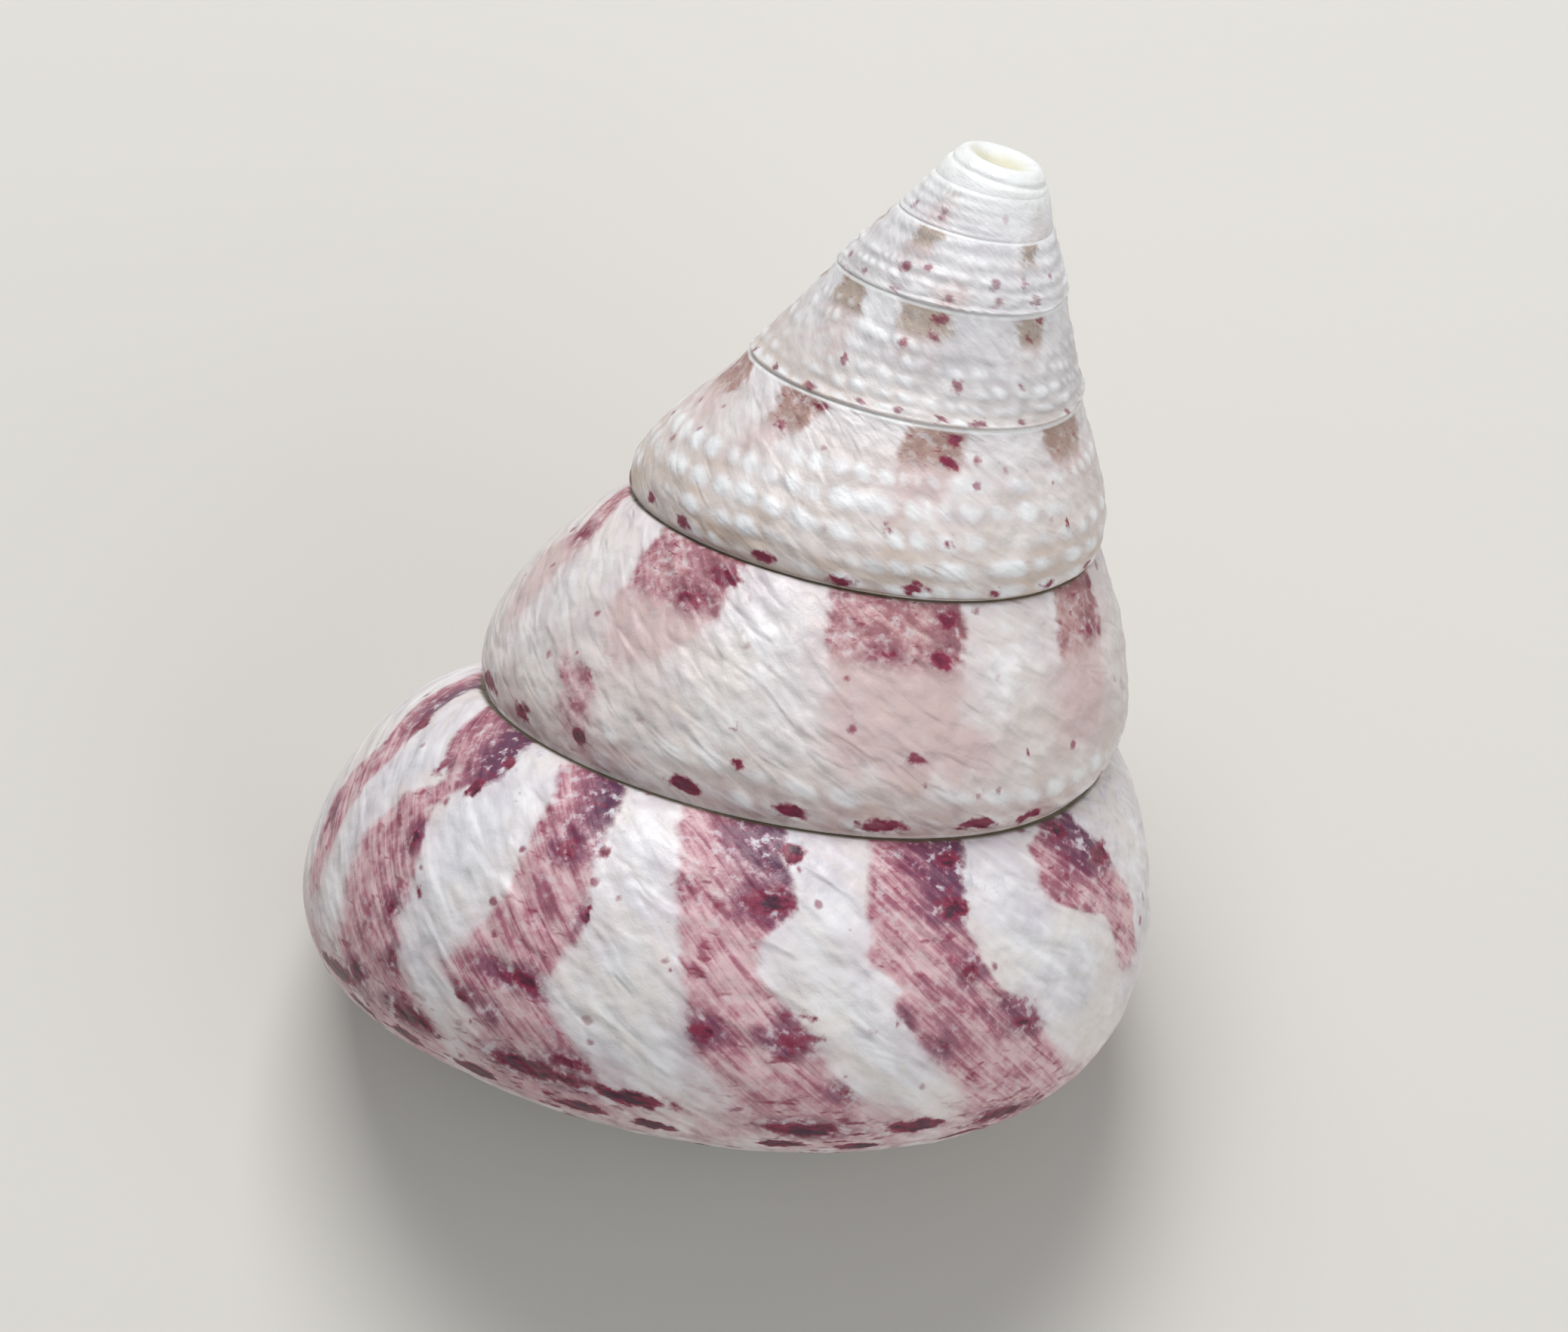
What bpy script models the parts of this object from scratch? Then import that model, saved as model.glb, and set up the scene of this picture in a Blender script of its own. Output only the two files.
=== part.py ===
"""Trochus top shell: one empty, right-handed, cone-shaped sea snail shell.

The shell is a tube of growing section wound about an axis. Every point of it is given by a stage of
growth, counted in turns from the worn tip, and by its place across the whorl. The mouth is cut by a flat
plane that also touches the last whorl, and the shell rests on that plane, its tip leaning back.

Lengths are in millimetres; MM turns them into metres where the mesh is made.
"""
import bmesh
import bpy
import numpy as np

MM = 0.001

# Suture: the line where each turn meets the one before. Turn 0 is at the worn tip.
SUTURE_START_RADIUS = 2.12
SUTURE_GROWTH = 0.462            # gain in the logarithm of the radius, per turn
SUTURE_SLOWING = 0.0161          # loss of that gain, per turn squared
SUTURE_LATE_SLOWING = 0.046      # a further loss, which sets in with the cube of the turns
LATE_TURNS = 5.0
DEPTH_LINEAR = 1.072             # depth below the ideal tip, per mm of radius
DEPTH_SQUARE = 0.0832            # and per mm of radius squared
DEPTH_CUBE = -0.000364           # and cubed

# Side of a whorl, from its upper to its lower suture, at these turns.
SIDE_TURNS = (1.0, 2.0, 3.0, 4.0, 5.3)
SHOULDER_FLARE = (0.15, -0.14, -0.27, 0.39, 0.91)    # radians outward of the chord, at the upper suture
EDGE_TUCK = (0.21, -0.20, 1.03, 0.87, 1.00)          # radians inward of the chord, at the lower suture
REACH_TURNS = (1.0, 3.0, 5.3)
SHOULDER_REACH = (0.36, 0.18, 0.37)                  # length of the curve's handles, in whorl heights
EDGE_REACH = (0.12, 0.31, 0.31)

# Base of the last whorl.
BASE_REACH = 0.255               # handle below the rounded edge, in whorl heights
BASE_BELLY_RADIUS = 0.55         # place of the base's inner handle, in radii
BASE_BELLY = -0.049              # its drop below the straight line to the foot, in whorl heights
HOLLOW_RADIUS = 0.10             # the same handle beside the mouth, where the base is hollow
HOLLOW_DROP = 0.12
HOLLOW_TURNS = 0.34              # turns over which the hollow fills up
NAVEL_DEPTH = 1.1
NAVEL_RADIUS = 1.9

# Worn tip.
TIP_DEPTH = 1.2                  # depth of the worn cap below the ideal tip
TIP_PIT_DEPTH = 0.45
TIP_PIT_RADIUS = 1.0
TIP_BLEND = 0.25                 # radius of the cap's rounded rim
TIP_SWELL = 0.5                  # how far the tip stands wider than the cone
TIP_SWELL_DEPTH = 1.75
TIP_SWELL_SPREAD = 1.6
TIP_SWELL_RADIUS = 1.0           # radius inside which the swell fades to nothing
TIP_SHIFT = (-0.05, 0.15)        # the worn tip stands a little off the axis
TIP_SHIFT_DEPTH = 2.6

# Resting plane, which is the plane of the mouth.
SPIN = np.radians(14.5)          # turn of the shell about its own axis, before it leans
LEAN = np.radians(42.0)          # of the axis, from upright
VIEW_TURN = np.radians(-25.77)   # turn of the leaning shell about Z
BELLY_TURNS = (4.2, 4.95)        # stretch of the last whorl that touches the plane
RUB = 0.15                       # depth of the flat spot rubbed on that stretch

# Wall, lumen and mouth.
LIP_STAGE = 5.50                 # stage of growth at which the mouth meets the suture
WALL = 0.095                     # wall of the side and base, in whorl heights
CALLUS = 0.035                   # glaze on the whorl before, which is the roof of the tube
TUBE_TOP = 0.10                  # where the tube starts, down the side from the suture
ROOF_EDGE = 0.10                 # and along the roof from the suture
PILLAR_PLACE = (0.75, 0.875)     # where the base line meets the pillar: hollow base, filled base
LIP_LAND = 0.65                  # width of the flat rim of the mouth
LIP_TURNS = 0.30                 # turns before the mouth over which the mesh lines lean into its plane
LIP_RECESS = 0.035               # turns from the rim to the first full section of the tube
TUBE_TURNS = 2.3                 # how far in the tube is open
TUBE_CORNER_SMOOTHING = 3
TOOTH_HEIGHT = 0.9               # blunt tooth at the foot of the pillar
TOOTH_TURNS = 0.10
TOOTH_PLACE = 0.3                # its place and spread along the pillar, from floor to roof
TOOTH_SPREAD = 0.2

# Fineness.
COLUMNS_PER_LAP = 33             # from one whorl's edge to the suture point below it
SIDE_ROWS = 8
BASE_ROWS = 9
ROW_CROWDING = 1.6               # power that crowds the rows of the side towards the upper suture
TUBE_STEPS_PER_TURN = 32
PILLAR_POINTS = 5
CAP_RINGS = 3
FIRST_STAGE = -1.6
ACROSS_SAMPLES = 101             # samples across a whorl, for the slant of the mouth's rim
POLE_SAMPLES = 4                 # the last of them, on the axis, where that slant has no meaning
BELLY_SAMPLES = (76, 26)
SLANT_TURNS = 0.5                # turns searched for the rim, in this many steps
SLANT_SAMPLES = 1001
SLOPE_STEP = 0.002               # step across the whorl for measuring its slope


def suture(turn):
    """Radius and depth of the suture: a spiral whose growth slackens, on a slightly hollow cone."""
    radius = SUTURE_START_RADIUS * np.exp(
        SUTURE_GROWTH * turn - SUTURE_SLOWING * turn ** 2 - SUTURE_LATE_SLOWING * (turn / LATE_TURNS) ** 3)
    depth = DEPTH_LINEAR * radius + DEPTH_SQUARE * radius ** 2 + DEPTH_CUBE * radius ** 3
    return radius, depth


def bezier(first, second, third, last, t):
    """Cubic curve with two end points and two handles."""
    s = 1.0 - t
    return s ** 3 * first + 3 * s * s * t * second + 3 * s * t * t * third + t ** 3 * last


def whorl_chord(turn):
    """Upper suture point, lower suture point, and the length and outward angle of the line between."""
    r0, d0 = suture(turn)
    r1, d1 = suture(turn + 1.0)
    return r0, d0, r1, d1, np.hypot(r1 - r0, d1 - d0), np.arctan2(r1 - r0, d1 - d0)


def side_line(turn, t):
    """Radius and depth across the side of a whorl: t = 0 at its upper suture, 1 at its lower one."""
    r0, d0, r1, d1, height, slope = whorl_chord(turn)
    start = slope + np.interp(turn, SIDE_TURNS, SHOULDER_FLARE)
    finish = slope - np.interp(turn, SIDE_TURNS, EDGE_TUCK)
    start_reach = height * np.interp(turn, REACH_TURNS, SHOULDER_REACH)
    finish_reach = height * np.interp(turn, REACH_TURNS, EDGE_REACH)
    return (bezier(r0, r0 + np.sin(start) * start_reach, r1 - np.sin(finish) * finish_reach, r1, t),
            bezier(d0, d0 + np.cos(start) * start_reach, d1 - np.cos(finish) * finish_reach, d1, t))


def base_line(turn, t, foot, filled):
    """Radius and depth across the base: t = 0 at the rounded edge, 1 on the axis, at depth foot.

    filled is 0 beside the mouth, where the base is hollow, and 1 where it is a plain low cone.
    """
    _, _, r1, d1, height, slope = whorl_chord(turn)
    start = slope - np.interp(turn, SIDE_TURNS, EDGE_TUCK)
    reach = height * BASE_REACH
    hollow_r, hollow_d = HOLLOW_RADIUS * r1, d1 + HOLLOW_DROP * height
    full_r = BASE_BELLY_RADIUS * r1
    full_d = d1 + (foot - d1) * (1.0 - BASE_BELLY_RADIUS) + BASE_BELLY * height
    inner_r = hollow_r + (full_r - hollow_r) * filled
    inner_d = hollow_d + (full_d - hollow_d) * filled
    return (bezier(r1, r1 + np.sin(start) * reach, inner_r, 0.0, t),
            bezier(d1, d1 + np.cos(start) * reach, inner_d, foot, t))


def in_space(turn, radius, depth):
    """Place in the shell's own frame: axis up, ideal tip at the origin, turn 0 facing -Y."""
    angle = -0.5 * np.pi - 2.0 * np.pi * turn
    return np.stack(np.broadcast_arrays(radius * np.cos(angle), radius * np.sin(angle), -depth), axis=-1)


def resting_frame():
    """Rotation that leans the shell back on its mouth; its rows are the part's X, Y and Z axes."""
    spin = np.array([[np.cos(SPIN), -np.sin(SPIN), 0.0], [np.sin(SPIN), np.cos(SPIN), 0.0], [0.0, 0.0, 1.0]])
    lean = np.array([[1.0, 0.0, 0.0], [0.0, np.cos(LEAN), np.sin(LEAN)], [0.0, -np.sin(LEAN), np.cos(LEAN)]])
    view = np.array([[np.cos(VIEW_TURN), -np.sin(VIEW_TURN), 0.0],
                     [np.sin(VIEW_TURN), np.cos(VIEW_TURN), 0.0], [0.0, 0.0, 1.0]])
    return view @ lean @ spin


def mouth_plane(up):
    """Height of the plane that touches the last whorl from below, and the depth where it meets the axis."""
    turn = np.linspace(*BELLY_TURNS, BELLY_SAMPLES[0])[:, None]
    half = np.linspace(0.0, 0.5, BELLY_SAMPLES[1])[None, :]
    level = (in_space(turn, *side_line(turn, 1.0 - half)) @ up).min()
    rounded = in_space(turn, *base_line(turn, half, -level / up[2], 0.0)) @ up
    level = min(level, rounded.min()) + RUB
    return level, -level / up[2]


def lip_lag(line, t, up, level):
    """Turns by which the rim of the mouth lags behind LIP_STAGE where a line across the whorl meets it."""
    turn = np.linspace(LIP_STAGE - SLANT_TURNS, LIP_STAGE, SLANT_SAMPLES)[:, None]
    height = in_space(turn, *line(turn, t[None, :])) @ up - level
    below = height <= 0.0
    crossed = below.any(axis=0)
    last = np.where(crossed, below.argmax(axis=0), len(turn) - 1)
    first = np.maximum(last - 1, 0)
    rows = np.arange(len(t))
    high, low = height[first, rows], height[last, rows]
    share = np.where(crossed, high / np.maximum(high - low, 1e-9), 1.0)
    meets = turn[first, 0] + share * (turn[last, 0] - turn[first, 0])
    return LIP_STAGE - np.minimum(meets, LIP_STAGE)


def crowded_rows():
    """Places across the side of a whorl, closest together at its upper suture."""
    return np.linspace(0.0, 1.0, SIDE_ROWS + 1) ** ROW_CROWDING


def smooth_step(x):
    """Rise from 0 to 1 with level ends."""
    x = np.clip(x, 0.0, 1.0)
    return x * x * (3.0 - 2.0 * x)


def worn(radius, depth):
    """Wear of the tip: a blunt swell, cut off by a flat cap with a shallow pit."""
    near_axis = np.minimum(radius, TIP_SWELL_RADIUS)
    radius = radius + TIP_SWELL * near_axis * np.exp(-((depth - TIP_SWELL_DEPTH) / TIP_SWELL_SPREAD) ** 2)
    gap = depth - cap_depth(radius)
    return radius, depth - 0.5 * (gap - np.hypot(gap, TIP_BLEND))


def shifted_tip(place):
    """The worn tip moved off the axis, which dies out down the spire."""
    share = np.exp(-(place[..., 2:] / TIP_SHIFT_DEPTH) ** 2)
    return place + share * np.array([*TIP_SHIFT, 0.0])


def cap_depth(radius):
    """Depth of the worn cap, which sinks into a pit at the axis."""
    return TIP_DEPTH + TIP_PIT_DEPTH * np.exp(-(radius / TIP_PIT_RADIUS) ** 2)


class Growth:
    """The shell's surfaces as functions of the stage of growth and the place across the whorl."""

    def __init__(self):
        self.frame = resting_frame()
        up = self.frame[2]
        self.level, self.foot = mouth_plane(up)
        self.across = np.linspace(0.0, 1.0, ACROSS_SAMPLES)
        self.side_lag = lip_lag(side_line, self.across, up, self.level)
        inner = self.across[:-POLE_SAMPLES]
        foot_base = lip_lag(lambda turn, t: base_line(turn, t, self.foot, 1.0), inner, up, self.level)
        self.base_lag = np.interp(self.across, inner, foot_base)
        self.edge_lag = self.side_lag[-1]
        self.lap = 1.0 - self.edge_lag
        edge_turn = LIP_STAGE - self.edge_lag
        _, _, _, edge_depth, height, _ = whorl_chord(edge_turn)
        self.foot_drop = (self.foot - edge_depth) / height

    def side(self, stage, t):
        """Turn, radius and depth on the outside of the whorl's side."""
        near_lip = smooth_step(1.0 - (LIP_STAGE - stage) / LIP_TURNS)
        plain_lag = self.edge_lag * t
        turn = stage - plain_lag - near_lip * (np.interp(t, self.across, self.side_lag) - plain_lag)
        return (turn, *side_line(turn, t))

    def filling(self, stage):
        """Share by which the base's hollow beside the mouth has filled up, going on round the base."""
        return smooth_step((stage - (LIP_STAGE - self.lap)) / HOLLOW_TURNS)

    def base(self, stage, t):
        """Turn, radius and depth on the underside of the whorl."""
        turn = stage - np.interp(t, self.across, self.base_lag)
        edge_turn = np.minimum(stage + self.lap, LIP_STAGE) - self.edge_lag
        _, _, _, edge_depth, height, _ = whorl_chord(edge_turn)
        foot = edge_depth + self.foot_drop * height
        return (turn, *base_line(turn, t, foot, self.filling(stage)))

    def offset(self, surface, stage, t, thickness):
        """A surface moved outwards by a share of the whorl's height, square to its line across."""
        turn, radius, depth = surface(stage, t)
        _, r_next, d_next = surface(stage, t + SLOPE_STEP)
        _, r_last, d_last = surface(stage, t - SLOPE_STEP)
        dr, dd = r_next - r_last, d_next - d_last
        length = np.hypot(dr, dd)
        *_, height, _ = whorl_chord(turn)
        return turn, radius + dd / length * thickness * height, depth - dr / length * thickness * height

    def tube(self, stage):
        """Rings of the tube's wall at these stages: down the side, in along the floor, up the pillar and
        out along the roof, which is the whorl before under its glaze."""
        stage = stage[:, None]
        t_side = TUBE_TOP + (1.0 - TUBE_TOP) * crowded_rows()[None, :]
        side = self.offset(self.side, stage, t_side, -WALL)
        roof_stage = stage - self.lap
        floor_end = PILLAR_PLACE[0] + (PILLAR_PLACE[1] - PILLAR_PLACE[0]) * self.filling(stage)
        roof_start = PILLAR_PLACE[0]
        steps = np.linspace(0.0, 1.0, BASE_ROWS - 2)
        floor = self.offset(self.base, stage, floor_end * steps[None, 1:], -WALL)
        roof_t = roof_start + (ROOF_EDGE - roof_start) * steps[None, :-1]
        roof = self.offset(self.base, roof_stage, roof_t, CALLUS)
        roof = (roof[0] + 1.0, roof[1], roof[2])
        share = np.linspace(0.0, 1.0, PILLAR_POINTS + 2)[None, 1:-1]
        pillar = [a[:, -1:] + (b[:, :1] - a[:, -1:]) * share for a, b in zip(floor, roof)]
        along = (LIP_STAGE - stage) / TOOTH_TURNS
        upward = (share - TOOTH_PLACE) / TOOTH_SPREAD
        pillar[1] = pillar[1] + TOOTH_HEIGHT * np.exp(-along ** 2 - upward ** 2)
        ring = np.stack([np.concatenate(parts, axis=1) for parts in zip(side, floor, pillar, roof)])
        for _ in range(TUBE_CORNER_SMOOTHING):
            ring = 0.5 * ring + 0.25 * (np.roll(ring, 1, axis=2) + np.roll(ring, -1, axis=2))
        return in_space(*ring)


def navel(radius, depth):
    """Shallow dent at the foot of the pillar."""
    return depth - NAVEL_DEPTH * np.exp(-(radius / NAVEL_RADIUS) ** 2)


def strips(first, second):
    """Quads between two rows of vertex numbers."""
    return np.stack([first[:-1], first[1:], second[1:], second[:-1]], axis=-1).reshape(-1, 4).tolist()


def shell_mesh():
    """Points in millimetres and faces of the whole shell, as one closed surface."""
    growth = Growth()
    lap, rows, under = COLUMNS_PER_LAP, SIDE_ROWS, BASE_ROWS
    step = growth.lap / lap
    columns = int((LIP_STAGE - FIRST_STAGE) / step)
    stages = LIP_STAGE - step * np.arange(columns, -1, -1.0)
    t_side = crowded_rows()
    t_base = np.linspace(0.0, 1.0, under + 1)
    points, faces = [], []

    def add(block):
        """Keep a block of points and give back their numbers in the block's shape."""
        first = sum(len(p) for p in points)
        points.append(block.reshape(-1, 3))
        return first + np.arange(block[..., 0].size).reshape(block.shape[:-1])

    def outside(surface, stage, t, dent):
        turn, radius, depth = surface(stage[:, None], t[None, :])
        radius, depth = worn(radius, depth)
        return shifted_tip(in_space(turn, radius, dent(radius, depth)))

    # Side: the last row of one lap is the first row of the next, so only the last lap has its own.
    side = np.empty((columns + 1, rows + 1), dtype=int)
    side[:, :rows] = add(outside(growth.side, stages, t_side[:-1], lambda r, d: d))
    side[:-lap, rows] = side[lap:, 0]
    side[-lap:, rows] = add(outside(growth.side, stages[-lap:], t_side[-1:], lambda r, d: d))[:, 0]

    # Base of the last lap, which closes on the foot of the pillar.
    base = np.empty((lap + 1, under + 1), dtype=int)
    base[:, 0] = side[-lap - 1:, rows]
    base[:, 1:under] = add(outside(growth.base, stages[-lap - 1:], t_base[1:-1], navel))
    base[:, under] = add(np.array([[0.0, 0.0, NAVEL_DEPTH - growth.foot]]))[0]

    for grid in (side, base[:, :under]):
        for column in range(len(grid) - 1):
            faces += strips(grid[column], grid[column + 1])
    faces += [[a, b, base[0, under]] for a, b in zip(base[:-1, under - 1], base[1:, under - 1])]

    # Worn cap: rings that shrink to the axis from the first lap's upper edge.
    loop = np.concatenate([side[:lap, 0], side[0, :0:-1]])
    first_turn, first_radius, _ = growth.side(stages[:1], t_side)
    rim_turn = np.concatenate([stages[:lap], first_turn[:0:-1] + 1.0])
    rim_radius = np.concatenate([suture(stages[:lap])[0], first_radius[:0:-1]])
    outer = loop
    for ring in range(1, CAP_RINGS):
        radius = rim_radius * (1.0 - ring / CAP_RINGS)
        inner = add(shifted_tip(in_space(rim_turn, *worn(radius, 0.0 * radius))))
        faces += strips(np.append(outer, outer[0]), np.append(inner, inner[0]))
        outer = inner
    centre = add(shifted_tip(in_space(0.0, *worn(np.zeros(1), np.zeros(1)))))[0]
    faces += [[a, b, centre] for a, b in zip(outer, np.roll(outer, -1))]

    # Tube, from the mouth inwards, with its blind end closed.
    tube_stages = LIP_STAGE - LIP_RECESS - np.arange(0.0, TUBE_TURNS, 1.0 / TUBE_STEPS_PER_TURN)
    rings = growth.tube(tube_stages)
    mouth = np.concatenate([side[-1], base[-1, 1:], base[0, under - 1:0:-1]])
    edge = np.concatenate(points)[mouth]
    up = growth.frame[2]
    inward = rings[0] - edge
    inward -= (inward @ up)[:, None] * up
    land = edge + LIP_LAND * inward / np.linalg.norm(inward, axis=1)[:, None]
    tube = np.vstack([mouth[None, :], add(land)[None, :], add(rings)])
    for outer, inner in zip(tube[:-1], tube[1:]):
        faces += strips(np.append(outer, outer[0]), np.append(inner, inner[0]))
    blind = add(rings[-1].mean(axis=0)[None, :])[0]
    faces += [[a, b, blind] for a, b in zip(tube[-1], np.roll(tube[-1], -1))]

    placed = np.concatenate(points) @ growth.frame.T
    placed[:, 2] = np.maximum(placed[:, 2], growth.level)
    low, high = placed.min(axis=0), placed.max(axis=0)
    placed -= np.array([0.5 * (low[0] + high[0]), 0.5 * (low[1] + high[1]), low[2]])
    return placed, faces


def shell_material():
    """Beach-worn lime: chalky white with a rosy cast, and a dull satin surface."""
    material = bpy.data.materials.new("worn_shell")
    material.use_nodes = True
    surface = material.node_tree.nodes["Principled BSDF"]
    surface.inputs["Base Color"].default_value = (0.72, 0.58, 0.60, 1.0)
    surface.inputs["Roughness"].default_value = 0.55
    surface.inputs["Metallic"].default_value = 0.0
    return material


def build():
    for old in list(bpy.data.objects):
        bpy.data.objects.remove(old)
    points, faces = shell_mesh()
    mesh = bpy.data.meshes.new("shell")
    mesh.from_pydata((points * MM).tolist(), [], faces)
    closed = bmesh.new()
    closed.from_mesh(mesh)
    bmesh.ops.triangulate(closed, faces=[face for face in closed.faces if len(face.verts) > 3])
    bmesh.ops.recalc_face_normals(closed, faces=closed.faces)
    closed.to_mesh(mesh)
    closed.free()
    mesh.shade_smooth()
    mesh.materials.append(shell_material())
    shell = bpy.data.objects.new("shell", mesh)
    bpy.context.scene.collection.objects.link(shell)


build()
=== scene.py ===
"""Beach-worn trochus top shell: the dressed shell, its finish and its stage, laid out as an add-on.

Every point of the shell is given by a stage of growth, counted in turns from the worn tip, and by its place
across the whorl. The growth formulas are those of the solid model, worked out on a finer grid, and low relief
and colour markings are laid on them as functions of the same two parameters. Lengths in the formulas are in
millimetres; MM turns them into metres where the mesh is made.
"""

import bpy
import numpy as np
from mathutils import Matrix, Vector


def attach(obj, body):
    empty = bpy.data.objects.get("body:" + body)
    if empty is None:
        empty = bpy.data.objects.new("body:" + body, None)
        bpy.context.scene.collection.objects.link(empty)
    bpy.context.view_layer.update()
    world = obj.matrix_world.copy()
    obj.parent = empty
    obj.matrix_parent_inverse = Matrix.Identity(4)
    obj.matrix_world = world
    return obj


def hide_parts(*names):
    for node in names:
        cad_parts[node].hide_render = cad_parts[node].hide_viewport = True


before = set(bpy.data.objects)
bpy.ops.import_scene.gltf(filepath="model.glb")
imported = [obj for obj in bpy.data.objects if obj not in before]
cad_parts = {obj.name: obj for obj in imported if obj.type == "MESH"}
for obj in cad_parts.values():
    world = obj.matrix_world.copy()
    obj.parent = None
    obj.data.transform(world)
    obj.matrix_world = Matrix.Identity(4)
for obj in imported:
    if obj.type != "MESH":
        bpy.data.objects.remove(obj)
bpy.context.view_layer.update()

bl_info = {
    "name": "Trochus top shell",
    "version": (1, 0, 0),
    "blender": (4, 5, 0),
    "location": "3D View > Sidebar > Shell",
    "description": "Grows a beach-worn trochus top shell and sets a plain studio round it",
    "category": "Add Mesh",
}

MM = 0.001
TURN = 2.0 * np.pi

# Suture: the line where each turn meets the one before. Turn 0 is at the worn tip.
SUTURE_START_RADIUS = 2.12
SUTURE_GROWTH = 0.462            # gain in the logarithm of the radius, per turn
SUTURE_SLOWING = 0.0161          # loss of that gain, per turn squared
SUTURE_LATE_SLOWING = 0.046      # a further loss, which sets in with the cube of the turns
LATE_TURNS = 5.0
DEPTH_LINEAR = 1.072             # depth below the ideal tip, per mm of radius
DEPTH_SQUARE = 0.0832            # and per mm of radius squared
DEPTH_CUBE = -0.000364           # and cubed

# Side of a whorl, from its upper to its lower suture, at these turns.
SIDE_TURNS = (1.0, 2.0, 3.0, 4.0, 5.3)
SHOULDER_FLARE = (0.15, -0.14, -0.27, 0.39, 0.91)    # radians outward of the chord, at the upper suture
EDGE_TUCK = (0.21, -0.20, 1.03, 0.87, 1.00)          # radians inward of the chord, at the lower suture
REACH_TURNS = (1.0, 3.0, 5.3)
SHOULDER_REACH = (0.36, 0.18, 0.37)                  # length of the curve's handles, in whorl heights
EDGE_REACH = (0.12, 0.31, 0.31)

# Base of the last whorl.
BASE_REACH = 0.255
BASE_BELLY_RADIUS = 0.55
BASE_BELLY = -0.049
HOLLOW_RADIUS = 0.10
HOLLOW_DROP = 0.12
HOLLOW_TURNS = 0.34
NAVEL_DEPTH = 1.1
NAVEL_RADIUS = 1.9

# Worn tip.
TIP_DEPTH = 1.2
TIP_PIT_DEPTH = 0.85
TIP_PIT_RADIUS = 1.5            # a little wider than in the solid, as the pit has a thin rim
TIP_BLEND = 0.25
TIP_SWELL = 0.5
TIP_SWELL_DEPTH = 1.75
TIP_SWELL_SPREAD = 1.6
TIP_SWELL_RADIUS = 1.0
TIP_SHIFT = (-0.05, 0.15)
TIP_SHIFT_DEPTH = 2.6
RING_DEPTH = 2.05                # a groove that rings the tip below its cap
RING_WIDTH = 0.12
RING_GROOVE = 0.09

# Resting plane, which is the plane of the mouth.
SPIN = np.radians(14.5)
LEAN = np.radians(42.0)
VIEW_TURN = np.radians(-25.77)
BELLY_TURNS = (4.2, 4.95)
RUB = 0.15

# Wall, lumen and mouth.
LIP_STAGE = 5.50
WALL = 0.095
CALLUS = 0.035
TUBE_TOP = 0.10
ROOF_EDGE = 0.10
PILLAR_PLACE = (0.75, 0.875)
LIP_LAND = 0.65
LIP_TURNS = 0.30
LIP_RECESS = 0.035
TUBE_TURNS = 2.3
TUBE_CORNER_SMOOTHING = 3
TOOTH_HEIGHT = 0.9
TOOTH_TURNS = 0.10
TOOTH_PLACE = 0.3
TOOTH_SPREAD = 0.2

# Fineness.
COLUMNS_PER_LAP = 200            # from one whorl's edge to the suture point below it
SIDE_ROWS = 45
SIDE_CROWDING = 0.35             # share by which rows draw together at both sutures
BASE_ROWS = 30
CAP_RINGS = 16
TUBE_STEPS = 100
TUBE_CROWDING = 1.4              # power that crowds the tube's steps towards the mouth
PILLAR_POINTS = 12
FIRST_STAGE = -1.6
ACROSS_SAMPLES = 101
POLE_SAMPLES = 4
BELLY_SAMPLES = (76, 26)
SLANT_TURNS = 0.5
SLANT_SAMPLES = 1001
SLOPE_STEP = 0.002               # steps across and along for measuring slopes
STAGE_STEP = 0.001

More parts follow.
